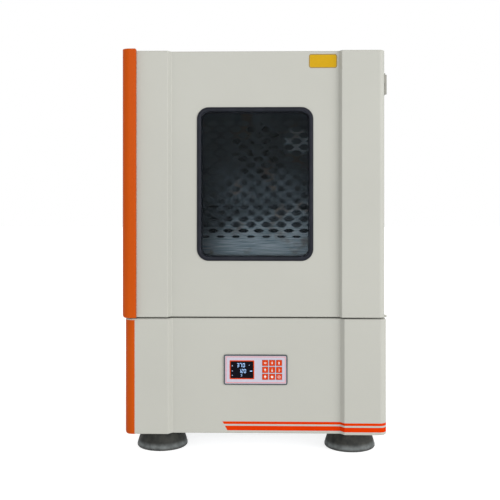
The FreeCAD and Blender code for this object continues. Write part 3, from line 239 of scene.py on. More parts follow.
def refined(node, name, finish, body, edge=0.35):
    """Stands for a CAD node with the same shape, its sharp edges eased."""
    bm = joined(node)
    sharp_bend = math.radians(35)
    sharp = [e for e in bm.edges if e.is_manifold and e.calc_face_angle() > sharp_bend]
    if edge and sharp:
        bmesh.ops.bevel(bm, geom=sharp, offset=edge, offset_type="OFFSET", affect="EDGES", segments=2,
                        profile=0.5, material=-1, clamp_overlap=True)
    piece(name, bm, [finish], body, [node])


def powder_coat(name, colour, worn):
    """Baked powder paint: a little cloudy, finely flecked, with a fine orange peel."""
    finish = Finish(name, {"Specular IOR Level": 0.25, "IOR": 1.45})
    cloud = finish.step(finish.grain(3.5, 3), 0.3, 0.7)
    fleck = finish.step(finish.grain(240, 4), 0.62, 0.80)
    finish.feed("Base Color", finish.mix(colour, worn, cloud * 0.6 + fleck * 0.4))
    peel = finish.grain(520, 2)
    finish.feed("Roughness", peel * 0.12 + 0.46)
    finish.relief(peel, 0.05)
    return finish


cream_colour = (0.300, 0.300, 0.2715, 1)
cream = powder_coat("cream_paint", cream_colour, (0.285, 0.285, 0.2585, 1))
refined("base_front_panel", "base_front", cream, "cabinet")
refined("base_side_panels", "base_sides", cream, "cabinet")
refined("base_rear_panel", "base_rear", cream, "cabinet")
refined("base_deck", "base_top", cream, "cabinet")


# Orange corner trim
# Extruded plastic quarter-round in the left front corner of the base, clipped between the front
# and the side. Its lower end is rounded off.

def moulded(name, colour, deep, roughness, texture=0.03, shine=0.3):
    """Moulded plastic with a fine spark texture and faint flow marks."""
    finish = Finish(name, {"Specular IOR Level": shine})
    flow = finish.grain(9, 2, (1, 1, 0.25))
    finish.feed("Base Color", finish.mix(colour, deep, finish.step(flow, 0.35, 0.7)))
    spark = finish.grain(1600, 1)
    finish.feed("Roughness", spark * 0.14 + roughness)
    finish.relief(spark, texture)
    return finish


orange = moulded("orange_plastic", (0.345, 0.052, 0.002, 1), (0.315, 0.044, 0.001, 1), 0.34, shine=0.05)
refined("base_corner_trim", "corner_trim", orange, "cabinet")


# Refrigeration
# A hermetic compressor on rubber blocks, a bare finned condenser with its moulded fan, an evaporator
# with dark coated fins behind the baffle, and copper pipes brazed between them.

black_paint = powder_coat("compressor_paint", (0.012, 0.012, 0.013, 1), (0.02, 0.02, 0.021, 1))
refined("compressor", "compressor_can", black_paint, "cabinet", edge=1.2)


def finned(name, constants, hollow, crest, roughness):
    """Stack of thin fins, darker in the gaps between them."""
    finish = Finish(name, constants)
    ribs = finish.node("ShaderNodeTexWave", {"bands_direction": "Z"}, {
        "Vector": finish.place, "Scale": 110.0, "Distortion": 0.4})
    finish.feed("Base Color", finish.mix(hollow, crest, ribs))
    finish.feed("Roughness", finish.grain(90) * 0.25 + roughness)
    finish.relief(ribs, 0.5)
    return finish


bare_fins = finned("coil_fins", {"Metallic": 0.85}, (0.24, 0.25, 0.26, 1), (0.58, 0.60, 0.62, 1), 0.3)
dress(bare_fins, "condenser")
coated_fins = finned("coated_fins", {"Metallic": 0.3, "Specular IOR Level": 0.2},
                     (0.04, 0.045, 0.05, 1), (0.09, 0.10, 0.11, 1), 0.4)
dress(coated_fins, "evaporator_coil")

fan_black = moulded("fan_plastic", (0.018, 0.018, 0.019, 1), (0.026, 0.026, 0.027, 1), 0.48)
refined("condenser_fan", "cooling_fan_wheel", fan_black, "cooling_fan", edge=0.3)

copper = Finish("copper_pipe", {"Metallic": 1.0})
tarnish = copper.step(copper.grain(45, 4), 0.4, 0.7)
copper.feed("Base Color", copper.mix((0.62, 0.30, 0.19, 1), (0.36, 0.17, 0.10, 1), tarnish))
copper.feed("Roughness", tarnish * 0.3 + 0.2)
copper.relief(copper.grain(700), 0.03)
refined("refrigerant_lines", "brazed_pipes", copper, "cabinet", edge=0.0)


# Drive
# An upright motor turns a small belt wheel. A flat belt takes the turn to a large wheel under the
# hub, whose shaft carries a counterweighted crank up through the chamber floor.

motor_grey = powder_coat("motor_paint", (0.036, 0.042, 0.055, 1), (0.050, 0.056, 0.068, 1))
refined("drive_motor", "drive_motor_body", motor_grey, "cabinet", edge=0.8)
refined("fan_motors", "fan_motor_bodies", motor_grey, "cabinet", edge=0.6)


def brushed(name, roughness, along, metallic=1.0):
    """Bare metal with fine lines along one axis, left by the tool or the rolling mill.

    It still wants its colour, and the pattern of its lines comes with it."""
    finish = Finish(name, {"Metallic": metallic})
    lines = finish.grain(1.0, 3, along)
    finish.feed("Roughness", lines * 0.22 + roughness)
    finish.relief(lines, 0.02)
    return finish, lines


def metal(name, colour, shade, roughness, along, metallic=1.0):
    """Brushed metal of one colour that is darker in its lines."""
    finish, lines = brushed(name, roughness, along, metallic)
    finish.feed("Base Color", finish.mix(shade, colour, finish.step(lines, 0.3, 0.7)))
    return finish


wheel_metal = metal("belt_wheels", (0.52, 0.52, 0.53, 1), (0.38, 0.38, 0.39, 1), 0.26, (60, 60, 1500))
dress(wheel_metal, "crank_pulley", "motor_pulley")


def cloudy_rubber(name, colour, dusty, roughness, shine=0.12):
    """Rubber of one colour with a cloudy bloom."""
    finish = rubber(name, roughness, shine)
    finish.feed("Base Color", finish.mix(colour, dusty, finish.step(finish.grain(60, 3), 0.35, 0.75)))
    return finish


belt_rubber = cloudy_rubber("belt_rubber", (0.012, 0.012, 0.012, 1), (0.022, 0.022, 0.022, 1), 0.55)
dress(belt_rubber, "drive_belt")

cast = Finish("cast_aluminium", {"Metallic": 0.9})
sand = cast.grain(420, 4)
cast.feed("Base Color", cast.mix((0.34, 0.35, 0.36, 1), (0.50, 0.51, 0.52, 1), sand))
cast.feed("Roughness", sand * 0.3 + 0.36)
cast.relief(sand, 0.25)
refined("drive_hub", "bearing_hub", cast, "cabinet", edge=0.6)

steel = metal("machined_steel", (0.56, 0.56, 0.57, 1), (0.42, 0.42, 0.43, 1), 0.22, (90, 90, 1200))
dress(steel, "drive_bearings", "carrier_bearings")
refined("crankshaft", "crank_with_weight", steel, "crank", edge=0.5)


# Upper casing
# One cream sheet folded over the sides and the top, filled with poured foam round a steel lining
# painted dark for shade, and closed by a flat rear cover. Screws hold this cover and the rear panel of the
# base.

refined("upper_casing", "casing_shell", cream, "cabinet", edge=0.3)
refined("rear_cover", "casing_rear", cream, "cabinet", edge=0.3)

foam = Finish("poured_foam", {"Roughness": 0.9, "Specular IOR Level": 0.2})
cells = foam.node("ShaderNodeTexVoronoi", {}, {"Vector": foam.place, "Scale": 320.0})
foam.feed("Base Color", foam.mix((0.62, 0.46, 0.20, 1), (0.72, 0.58, 0.32, 1), cells))
foam.relief(cells, 0.6)
dress(foam, "insulation_foam")

# Painted shade: the lining, heater and fan wheel get a steel darker than bare stainless, for the dim
# chamber.
shade_darkened_steel = metal("chamber_steel", (0.21, 0.235, 0.25, 1), (0.13, 0.145, 0.155, 1), 0.34,
                   (30, 900, 900), metallic=0.6)
dress(shade_darkened_steel, "chamber_liner", "heater_element")

cover_low, cover_high = room("rear_cover")
rear_low, rear_high = room("base_rear_panel")
screw_inset = 14.0
middle_screw = 105.0
screw_profile = [(0, 1.3), (1.2, 1.3), (1.5, 2.3), (2.8, 1.9), (3.6, 0.9), (3.7, -0.2), (0, -0.2)]
screw_places = []
for low, high in ((cover_low, cover_high), (rear_low, rear_high)):
    for z in (low.z + screw_inset, high.z - screw_inset):
        for x in (low.x + screw_inset, -middle_screw, middle_screw, high.x - screw_inset):
            screw_places.append((x, z))
for x in (cover_low.x + screw_inset, cover_high.x - screw_inset):
    screw_places.append((x, (cover_low.z + cover_high.z) / 2))
screws = bmesh.new()
for x, z in screw_places:
    turned(screws, screw_profile, 12, x, z)
# Swaps depth and height, so that the heads face the back, and takes them to the cover.
facing_back = Matrix(((1, 0, 0, 0), (0, 0, 1, cover_high.y), (0, 1, 0, 0), (0, 0, 0, 1)))
bmesh.ops.transform(screws, matrix=facing_back, verts=screws.verts[:])
piece("rear_screws", closed(screws), [steel], "cabinet")


# Circulation fan
# A centrifugal steel wheel, painted dark as shade, pressed onto its motor's shaft behind the baffle.
# It draws air from the chamber over the evaporator and the heater.

refined("circulation_impeller", "circulation_wheel", shade_darkened_steel, "impeller", edge=0.0)


# Air baffle
# Thin stainless sheet across the back of the chamber, punched with staggered six-sided holes, with
# a narrow return down each side. Painted light lies on its lower part and one patch, painted shade above a
# slanting edge.

def flat_loops(bm, outlines, y):
    """Closed loops of edges at one depth, each given as x and z pairs."""
    edges = []
    for corners in outlines:
        spots = [bm.verts.new((x, y, z)) for x, z in corners]
        edges += [bm.edges.new((spots[n - 1], spots[n])) for n in range(len(spots))]
    return edges


def pulled(bm, depth):
    """Pulls a flat mesh along y into a solid, towards the front where the depth is below 0."""
    grown = bmesh.ops.extrude_face_region(bm, geom=bm.faces[:])
    moved = [part for part in grown["geom"] if isinstance(part, bmesh.types.BMVert)]
    bmesh.ops.translate(bm, vec=(0, depth, 0), verts=moved)


def punched(bm, outlines, y, depth):
    """Sheet inside the first outline with the others as its holes."""
    edges = flat_loops(bm, outlines, y)
    bmesh.ops.triangle_fill(bm, use_beauty=True, use_dissolve=False, edges=edges, normal=(0, -1, 0))
    pulled(bm, depth)


def square(x, z, width, height):
    return [(x - width / 2, z - height / 2), (x + width / 2, z - height / 2),
            (x + width / 2, z + height / 2), (x - width / 2, z + height / 2)]


def hexagon(x, z, half_width, shoulder, half_height):
    """Flat-topped hole whose left and right corners lie at its middle height."""
    return [(x - half_width, z), (x - shoulder, z - half_height), (x + shoulder, z - half_height),
            (x + half_width, z), (x + shoulder, z + half_height), (x - shoulder, z + half_height)]


baffle_low, baffle_high = room("air_baffle")
baffle_middle = (baffle_low + baffle_high) / 2
baffle_height = baffle_high.z - baffle_low.z
baffle_sheet, baffle_return = 1.2, 20.0
hole_rows, hole_columns = 20, 10
hole_pitch_x, hole_pitch_z = 47.3, 18.6
hole_half_width, hole_shoulder, hole_half_height = 18.0, 7.0, 8.8
# The lowest rows have smaller holes, as shares of a full one.
row_widths, row_heights = {0: 0.8}, {0: 0.42, 1: 0.7}
first_row_z = 505.6
outlines = [square(baffle_middle.x, baffle_middle.z, baffle_high.x - baffle_low.x, baffle_height)]
for row in range(hole_rows):
    columns = hole_columns - row % 2
    half_width = hole_half_width * row_widths.get(row, 1)
    half_height = hole_half_height * row_heights.get(row, 1)
    for column in range(columns):
        x = (column - (columns - 1) / 2) * hole_pitch_x
        z = first_row_z + row * hole_pitch_z
        outlines.append(hexagon(x, z, half_width, hole_shoulder, half_height))
baffle = bmesh.new()
punched(baffle, outlines, baffle_low.y, baffle_sheet)
for x in (baffle_low.x + baffle_sheet / 2, baffle_high.x - baffle_sheet / 2):
    bmesh.ops.create_cube(baffle, size=1, matrix=Matrix.LocRotScale(
        Vector((x, baffle_low.y + baffle_return / 2, baffle_middle.z)), None,
        Vector((baffle_sheet, baffle_return, baffle_height))))
bmesh.ops.recalc_face_normals(baffle, faces=baffle.faces[:])

perforated, lines = brushed("perforated_steel", 0.42, (40, 40, 700), metallic=0.6)
across = perforated.node("ShaderNodeSeparateXYZ", {}, {"Vector": perforated.place}, "X")
streaks = perforated.step(perforated.grain(1.0, 3, (14, 14, 420)), 0.38, 0.62)
# Lit copy of the steel: painted light for the lower part and the round patch.
painted_lit_steel = perforated.mix((0.46, 0.56, 0.59, 1), (0.94, 0.95, 0.94, 1), streaks)
blotches = perforated.step(perforated.grain(26, 6, (1, 1, 0.4)), 0.35, 0.70)
# Shaded copy of the steel: painted shade for the upper part, with random blotches.
painted_shaded_steel = perforated.mix((0.10, 0.118, 0.122, 1), (0.19, 0.21, 0.22, 1), blotches)
# Edge between painted light and painted shade, rising towards the right and wandering a little.
painted_shade_edge = perforated.height() - across * 0.2 + perforated.grain(14, 3) * 0.1
# Middle of a round patch of painted light high on the sheet.
lit_patch_centre = (0.120, 0.213, 0.800)
from_centre = perforated.node("ShaderNodeVectorMath", {"operation": "DISTANCE"},
                              {0: perforated.place, 1: lit_patch_centre}, "Value")
outside_lit_patch = perforated.step(from_centre + perforated.grain(60, 3) * 0.03, 0.044, 0.066)
painted_shade = perforated.step(painted_shade_edge, 0.53, 0.66) * outside_lit_patch
stain = perforated.step(perforated.grain(13, 5), 0.54, 0.67)
perforated.feed("Base Color", perforated.mix(
    perforated.mix(painted_lit_steel, painted_shaded_steel, painted_shade), (0.28, 0.155, 0.08, 1), stain * 0.55))
piece("perforated_baffle", baffle, [perforated], "cabinet", ["air_baffle"])


# Temperature probe
# A thin stainless rod on a square foot, fixed to the front of the baffle so that it stands in the
# chamber's air. It shares the baffle's finish, with its painted light and shade.

refined("temperature_probe", "chamber_probe", perforated, "cabinet", edge=0.4)


# Chamber lamp
# A moulded cover of frosted plastic over a cold white tube, clipped under the top of the chamber.
# The whole cover glows faintly.

lamp = Finish("lamp_cover", {
    "Roughness": 0.35, "Emission Strength": 0.2, "Emission Color": (0.80, 0.90, 1.0, 1)})
frosting = lamp.grain(180, 2)
lamp.feed("Base Color", lamp.mix((0.75, 0.76, 0.78, 1), (0.85, 0.86, 0.86, 1), frosting))
lamp.relief(frosting, 0.05)
refined("chamber_lamp", "lamp_diffuser", lamp, "cabinet", edge=1.5)


# Platform
# A bare steel tray with turned-down edges on a cast frame. Three steel idler cranks on cast
# pedestals keep it from turning while the main crank carries it round.

dress(cast, "idler_pedestals")
refined("platform_carrier", "platform_frame", cast, "platform", edge=0.5)
for n in (1, 2, 3):
    refined("idler_crank_%d" % n, "idler_arm_%d" % n, steel, "idler_%d" % n, edge=0.4)
tray_steel = metal("tray_steel", (0.77, 0.79, 0.79, 1), (0.48, 0.50, 0.51, 1), 0.28,
                   (14, 420, 420), metallic=0.75)
refined("platform_tray", "platform_plate", tray_steel, "platform", edge=0.5)


# Control panel
# A dark moulded frame snapped into the base front. It holds a printed film with openings for nine
# keys and for a small lit display, with the circuit board behind.

def rounded_loop(bm, width, height, radius, y, x, z, steps):
    """Closed loop of edges round a rounded rectangle that faces the front, centred on x and z."""
    known_edges = set(bm.edges)
    known_faces = set(bm.faces)
    spots = [bm.verts.new((x + across * width / 2, y, z + up * height / 2))
             for across, up in ((-1, -1), (1, -1), (1, 1), (-1, 1))]
    bm.faces.new(spots)
    bmesh.ops.bevel(bm, geom=spots, offset=radius, offset_type="OFFSET", affect="VERTICES", segments=steps,
                    profile=0.5, material=-1)
    made = [face for face in bm.faces if face not in known_faces]
    bmesh.ops.delete(bm, geom=made, context="FACES_ONLY")
    return [edge for edge in bm.edges if edge not in known_edges]


def stacked(bm, sections, x, z, ring=False, steps=5):
    """Skin over rounded rectangles, each given as width, height, radius and place in y.

    Each loop sits a hair behind the one before, because two loops at one depth bridge twisted."""
    hair = 0.003
    loops = [rounded_loop(bm, width, height, radius, y + n * hair, x, z, steps)
             for n, (width, height, radius, y) in enumerate(sections)]
    pairs = list(zip(loops, loops[1:]))
    if ring:
        pairs.append((loops[-1], loops[0]))
    for first, second in pairs:
        bmesh.ops.bridge_loops(bm, edges=first + second)
    if not ring:
        for end in (loops[0], loops[-1]):
            bmesh.ops.edgeloop_fill(bm, edges=end)


def around(width, height, radius, margins):
    """Sections of one rounded rectangle, drawn in by each margin, with its place in y."""
    return [(width - 2 * inset, height - 2 * inset, max(radius - inset, 0.3), y) for inset, y in margins]


bezel_low, bezel_high = room("control_bezel")
fascia_low, fascia_high = room("control_fascia")
panel_x = (bezel_low.x + bezel_high.x) / 2
panel_z = (bezel_low.z + bezel_high.z) / 2
panel_width = bezel_high.x - bezel_low.x
panel_height = bezel_high.z - bezel_low.z
panel_radius = 4.9
sheet_y = bezel_low.y + 3.0

dark_plastic = moulded("dark_plastic", (0.040, 0.046, 0.052, 1), (0.032, 0.037, 0.042, 1), 0.42)
bezel = bmesh.new()
stacked(bezel, around(panel_width, panel_height, panel_radius, [
    (1.6, bezel_high.y), (1.6, sheet_y), (0, sheet_y), (0, bezel_low.y + 1.0), (0.3, bezel_low.y + 0.3),
    (1.0, bezel_low.y), (2.4, bezel_low.y), (3.0, bezel_low.y + 0.3), (3.2, fascia_low.y + 0.3),
    (3.2, fascia_high.y), (3.9, fascia_high.y), (3.9, bezel_high.y),
]), panel_x, panel_z, ring=True)
piece("panel_frame", closed(bezel), [dark_plastic], "cabinet", ["control_bezel"])

display_low, display_high = room("display_module")
display_x = (display_low.x + display_high.x) / 2
display_width = display_high.x - display_low.x
display_height = display_high.z - display_low.z
edge_width = 2.4

film = Finish("fascia_film", {"Specular IOR Level": 0.3, "Roughness": 0.42})
film_cloud = film.grain(1200, 1)
film.feed("Base Color", film.mix((0.325, 0.315, 0.37, 1), (0.305, 0.295, 0.35, 1), film_cloud))
film.relief(film_cloud, 0.015)
key_places = [room("key_%d" % n) for n in range(1, 10)]
key_centres = [((low.x + high.x) / 2, (low.z + high.z) / 2) for low, high in key_places]
key_opening = 14.6
outlines = [square(panel_x, panel_z, fascia_high.x - fascia_low.x, fascia_high.z - fascia_low.z),
            square(display_x, panel_z, display_width, display_height)]
outlines += [square(x, z, key_opening, key_opening) for x, z in key_centres]
fascia = bmesh.new()
punched(fascia, outlines, fascia_low.y, fascia_high.y - fascia_low.y)
piece("panel_film", closed(fascia), [film], "cabinet", ["control_fascia"])


def printed(name, colour, thin, roughness, scale):
    """Screen print that is a little uneven."""
    finish = Finish(name, {"Roughness": roughness})
    finish.feed("Base Color", finish.mix(colour, thin, finish.grain(scale)))
    return finish


red_print = printed("red_print", (0.50, 0.10, 0.09, 1), (0.44, 0.08, 0.07, 1), 0.4, 500)
border = bmesh.new()
print_y = fascia_low.y
stacked(border, around(panel_width, panel_height, panel_radius, [
    (5.0, print_y + 0.02), (5.0, print_y - 0.06), (6.2, print_y - 0.06), (6.2, print_y + 0.02),
]), panel_x, panel_z, ring=True)
piece("panel_border_line", closed(border), [red_print], "cabinet")

display_edge = bmesh.new()
stacked(display_edge, around(display_width + edge_width, display_height + edge_width, 1.5, [
    (0, print_y + 0.02), (0, print_y - 0.07), (edge_width, print_y - 0.07), (edge_width, print_y + 0.02),
]), display_x, panel_z, ring=True)
key_orange = moulded("orange_keys", (0.42, 0.034, 0.003, 1), (0.38, 0.030, 0.002, 1), 0.36, shine=0.05)
piece("display_edge_line", closed(display_edge), [key_orange], "cabinet")

glass_black = Finish("display_glass", {"Specular IOR Level": 0.02, "Roughness": 0.4})
smear = glass_black.grain(30, 3)
glass_black.feed("Base Color", glass_black.mix(
    (0.002, 0.002, 0.0035, 1), (0.005, 0.005, 0.008, 1), smear))
display = bmesh.new()
stacked(display, around(display_width - 0.2, display_height - 0.2, 1.0, [
    (0, display_high.y), (0, display_low.y + 0.4), (0.4, display_low.y),
]), display_x, panel_z)
piece("display_block", closed(display), [glass_black], "cabinet", ["display_module"])


def bar(bm, x, z, width, height, y):
    """Flat printed bar that faces the front."""
    place = Matrix.Translation((x, y, z)) @ Matrix.Rotation(math.pi / 2, 4, "X")
    size = Matrix.Diagonal((width, height, 1, 1))
    bmesh.ops.create_grid(bm, x_segments=1, y_segments=1, size=0.5, matrix=place @ size)


def disc(bm, x, z, radius, sides, turn, y):
    """Flat printed polygon that faces the front, turned by a number of degrees."""
    place = Matrix.Translation((x, y, z)) @ Matrix.Rotation(math.pi / 2, 4, "X")
    spun = Matrix.Rotation(math.radians(turn), 4, "Z")
    bmesh.ops.create_circle(bm, cap_ends=True, radius=radius, segments=sides, matrix=place @ spun)


# The seven segments, as steps across and up from a number's middle, and whether they lie level.
segment_places = {
    "a": (0, 1, True), "g": (0, 0, True), "d": (0, -1, True),
    "f": (-1, 0.5, False), "b": (1, 0.5, False), "e": (-1, -0.5, False), "c": (1, -0.5, False),
}
lit_segments = {"0": "abcdef", "1": "bc", "2": "abged", "3": "abgcd", "7": "abc"}


def digits(bm, text, x, z, height, y):
    """Row of seven-segment numbers that starts at x, with z at their middle height."""
    half_width, half_height, stroke = height * 0.24, height / 2, height * 0.11
    level_length, upright_length = half_width * 1.7, half_height * 0.84
    for mark in text:
        if mark == ".":
            bar(bm, x - height * 0.02, z - half_height, stroke, stroke, y)
            x += height * 0.16
            continue
        for segment in lit_segments[mark]:
            across, up, level = segment_places[segment]
            width, tall = (level_length, stroke) if level else (stroke, upright_length)
            bar(bm, x + half_width + across * half_width, z + up * half_height, width, tall, y)
        x += height * 0.74


def raised(bm):
    """Gives flat print its thickness towards the front."""
    print_thickness = 0.05
    pulled(bm, -print_thickness)
    bmesh.ops.recalc_face_normals(bm, faces=bm.faces[:])
    return bm


def glowing(name, colour, strength):
    """Lit pixels, some of them a little dimmer."""
    finish = Finish(name, {"Roughness": 0.3, "Emission Strength": strength})
    pixels = finish.grain(2500, 0)
    dim = tuple(part * 0.8 for part in colour[:3]) + (1,)
    for socket in ("Base Color", "Emission Color"):
        finish.feed(socket, finish.mix(dim, colour, pixels))
    return finish


lit_y = display_low.y
upper_z, middle_z, lower_z = 215.6, 201.4, 191.0
cold_white = glowing("display_light", (0.30, 0.48, 0.80, 1), 0.55)
numbers = bmesh.new()
digits(numbers, "37.0", -44.0, upper_z, 8.6, lit_y)
digits(numbers, "120", -39.5, middle_z, 8.4, lit_y)
digits(numbers, "0", -34.5, lower_z, 4.2, lit_y)
bar(numbers, -10.2, middle_z - 0.2, 5.6, 1.6, lit_y)
piece("display_numbers", raised(numbers), [cold_white], "cabinet")

faint_light = glowing("display_icon_light", (0.22, 0.26, 0.36, 1), 0.3)
icon_x, icon_radius = -55.6, 1.5
icons = bmesh.new()
disc(icons, icon_x, upper_z - 1.6, icon_radius, 6, 0, lit_y)
disc(icons, icon_x, middle_z, icon_radius, 4, 0, lit_y)
bar(icons, icon_x, lower_z - 0.2, 2.6, 1.6, lit_y)
bar(icons, -14.5, upper_z, 3.0, 1.2, lit_y)
piece("display_icons", raised(icons), [faint_light], "cabinet")

board = Finish("board_laminate", {"Roughness": 0.35})
tracks = board.grain(260, 2)
board.feed("Base Color", board.mix((0.02, 0.10, 0.05, 1), (0.03, 0.17, 0.08, 1), tracks))
board.relief(tracks, 0.1)
dress(board, "control_board")


# Keys
# Nine square caps moulded in orange, each with a flange behind the film and a stem on the board, and
# with a raised print of a plain symbol.

white_print = printed("white_print", (0.46, 0.41, 0.38, 1), (0.52, 0.47, 0.44, 1), 0.4, 600)
# Each symbol is a list of bars (x, z, width, height) and discs (x, z, radius, sides, turn).
symbols = [
    [("disc", -0.8, 0, 2.8, 3, 90), ("bar", 2.2, 0, 2.6, 1.6)],
    [("disc", 0, -0.6, 2.9, 3, 180), ("bar", 0, 2.2, 1.6, 2.4)],
    [("disc", 0, 0.6, 2.9, 3, 0), ("bar", 0, -2.2, 1.6, 2.4)],
    [("disc", 0, 1.0, 2.3, 8, 0), ("bar", 0, -2.4, 2.6, 1.2)],
    [("bar", 0, 1.0, 1.3, 5.0), ("disc", 0, -2.2, 1.9, 10, 0)],
    [("bar", 0, 1.6, 0.9, 3.6), ("bar", 1.2, 0, 2.8, 0.9), ("disc", 0, -2.6, 1.2, 8, 0)],
    [("disc", 0, 0.8, 2.6, 10, 0), ("bar", 0, -2.6, 2.2, 1.0)],
    [("disc", 0, 0, 2.9, 12, 0)],
    [("bar", 0, 2.4, 6.0, 1.0), ("bar", 0, -2.4, 6.0, 1.0),
     ("bar", -2.5, 0, 1.0, 4.4), ("bar", 2.5, 0, 1.0, 4.4)],
]
draws = {"disc": disc, "bar": bar}
flange_front, flange_back = fascia_high.y + 0.3, fascia_high.y + 1.3
for n, (low, high) in enumerate(key_places):
    x, z = key_centres[n]
    cap = bmesh.new()
    stacked(cap, [(side, side, radius, y) for side, radius, y in (
        (4, 0.6, high.y), (4, 0.6, flange_back), (16.4, 1.2, flange_back), (16.4, 1.2, flange_front),
        (14, 2.4, flange_front), (14, 2.4, low.y + 0.5), (13.5, 2.2, low.y + 0.15), (12.6, 2.0, low.y),
    )], x, z, steps=4)
    closed(cap)
    marks = bmesh.new()
    for layer, (kind, across, up, *shape) in enumerate(symbols[n]):
        draws[kind](marks, x + across, z + up, *shape, low.y - layer * 0.01)
    raised(marks)
    for face in marks.faces:
        face.material_index = 1
    held = bpy.data.meshes.new("key_marks")
    marks.to_mesh(held)
    marks.free()
    cap.from_mesh(held)
    bpy.data.meshes.remove(held)
    piece("key_cap_%d" % (n + 1), cap, [key_orange, white_print], "key_body_%d" % (n + 1),
          ["key_%d" % (n + 1)])


# Mains inlet
# A dark moulded inlet with three contacts, snapped into the back of the base. A black rocker switch
# tips on a pin above the contacts.

refined("mains_inlet", "mains_socket", dark_plastic, "cabinet", edge=0.3)
rocker_black = moulded("rocker_plastic", (0.015, 0.015, 0.016, 1), (0.022, 0.022, 0.023, 1), 0.22)
refined("mains_rocker", "mains_switch_rocker", rocker_black, "rocker", edge=0.5)


# Door
# A folded cream tray filled with foam and closed by a stainless inner sheet, with a rounded opening
# for the window. Its side strips stand proud of the middle like those of the base.

refined("door_skin", "door_front", cream, "door")
dress(foam, "door_foam")
stainless = metal("stainless", (0.52, 0.54, 0.57, 1), (0.40, 0.42, 0.45, 1), 0.24, (30, 900, 900))
refined("door_liner", "door_inner_sheet", stainless, "door", edge=0.3)


# Door window
# Two tinted panes with air between them. Each is held in a black moulded rubber seal that lips over
# the edge of its sheet.

glass = Finish("window_glass", {})
tint = glass.node("ShaderNodeBsdfTransparent", {}, {"Color": (0.83, 0.85, 0.865, 1)})
gloss = glass.node("ShaderNodeBsdfGlossy", {}, {"Color": (0.9, 0.95, 1.0, 1), "Roughness": 0.05})
facing = glass.node("ShaderNodeFresnel", {}, {"IOR": 1.13})
pane = glass.node("ShaderNodeMixShader", {}, {0: facing, 1: tint, 2: gloss})
glass.tree.links.new(pane.socket, glass.tree.nodes["Material Output"].inputs["Surface"])
dress(glass, "window_panes")

seal_low, seal_high = room("window_seals")
window_x = (seal_low.x + seal_high.x) / 2
window_z = (seal_low.z + seal_high.z) / 2
window_width = seal_high.x - seal_low.x
window_height = seal_high.z - seal_low.z
window_radius = 29.0
lip_height = 3.0
# The seal's section, as insets from its outline and depths below the sheet.
seal_profile = [
    (5.0, 5), (5.0, 0), (0, 0), (0, -1.3), (0.5, -2.2), (1.5, -2.7), (2.3, -2.0), (3.0, -2.4),
    (4.6, -lip_height), (6.6, -lip_height), (8.2, -2.4), (9.0, -1.8), (9.6, -0.8), (10, 0.6), (10, 5),
]
seal_rubber = cloudy_rubber("seal_rubber", (0.010, 0.011, 0.015, 1), (0.014, 0.015, 0.020, 1), 0.40,
                            shine=0.06)
seals = bmesh.new()
for sheet, inward in ((seal_low.y + lip_height, 1), (seal_high.y - lip_height, -1)):
    margins = [(inset, sheet + inward * depth) for inset, depth in seal_profile]
    stacked(seals, around(window_width, window_height, window_radius, margins),
            window_x, window_z, ring=True, steps=12)
piece("window_seal_rings", closed(seals), [seal_rubber], "door", ["window_seals"],
      crease=50)


# Door gasket
# Grey extruded gasket round the chamber's mouth, welded at its corners and pressed into the door's
# inner sheet. A soft bellows joins its foot to its magnet.

grey_rubber = cloudy_rubber("grey_rubber", (0.17, 0.17, 0.17, 1), (0.20, 0.20, 0.20, 1), 0.5)
refined("door_gasket", "magnetic_gasket", grey_rubber, "door", edge=0.6)


# Door grip
# Full-height orange extrusion with a quarter-round front, screwed to the door's left edge. A groove
# for the fingers opens to the back.

refined("door_grip", "grip_extrusion", orange, "door", edge=0.5)


# Bare yellow plate
# Thin plastic plate stuck on near the door's top right corner. A dark line is printed round it and
# the field inside is bare.

yellow = Finish("yellow_plate", {"Roughness": 0.38, "Specular IOR Level": 0.05})
yellow.feed("Base Color", yellow.mix(
    (0.37, 0.217, 0.002, 1), (0.33, 0.192, 0.001, 1), yellow.grain(140, 3)))
yellow.relief(yellow.grain(500), 0.02)
plate_width, plate_height, plate_radius = 68.5, 34.2, 6.0
plate_x, plate_y, plate_z = 164.05, -326.5, 952.4
plate = bmesh.new()
stacked(plate, around(plate_width, plate_height, plate_radius, [
    (0, plate_y + 0.02), (0, plate_y - 0.25), (0.15, plate_y - 0.3),
]), plate_x, plate_z, steps=4)
piece("bare_yellow_plate", closed(plate), [yellow], "door")

dark_print = printed("dark_print", (0.085, 0.060, 0.004, 1), (0.12, 0.085, 0.006, 1), 0.45, 500)
plate_edge = bmesh.new()
stacked(plate_edge, around(plate_width, plate_height, plate_radius, [
    (0.4, plate_y - 0.2), (0.4, plate_y - 0.36), (2.0, plate_y - 0.36), (2.0, plate_y - 0.2),
]), plate_x, plate_z, ring=True, steps=4)
piece("plate_border_line", closed(plate_edge), [dark_print], "door")


# Hinges
# Plated steel leaves with a turned knuckle near the top of the door, and a plate with a pin in the
# seam between door and base. This lower plate is painted with the cabinet.

hinge_steel, lines = brushed("hinge_steel", 0.45, (90, 90, 1200))
# 1 on the upper hinge and 0 on the lower one.
upper = hinge_steel.step(hinge_steel.height(), 0.399, 0.401)
bare = hinge_steel.mix((0.140, 0.136, 0.118, 1), (0.200, 0.195, 0.170, 1), lines)
hinge_steel.feed("Base Color", hinge_steel.mix(cream_colour, bare, upper))
hinge_steel.feed("Metallic", upper * 0.35)
refined("cabinet_hinges", "hinge_cabinet_halves", hinge_steel, "cabinet", edge=0.25)
refined("door_hinge_leaves", "hinge_door_halves", hinge_steel, "door", edge=0.25)


# Orange stripes
# Two lines of orange film along the foot of the base front, cut on a slant at the left and wrapped
# round the right corner.

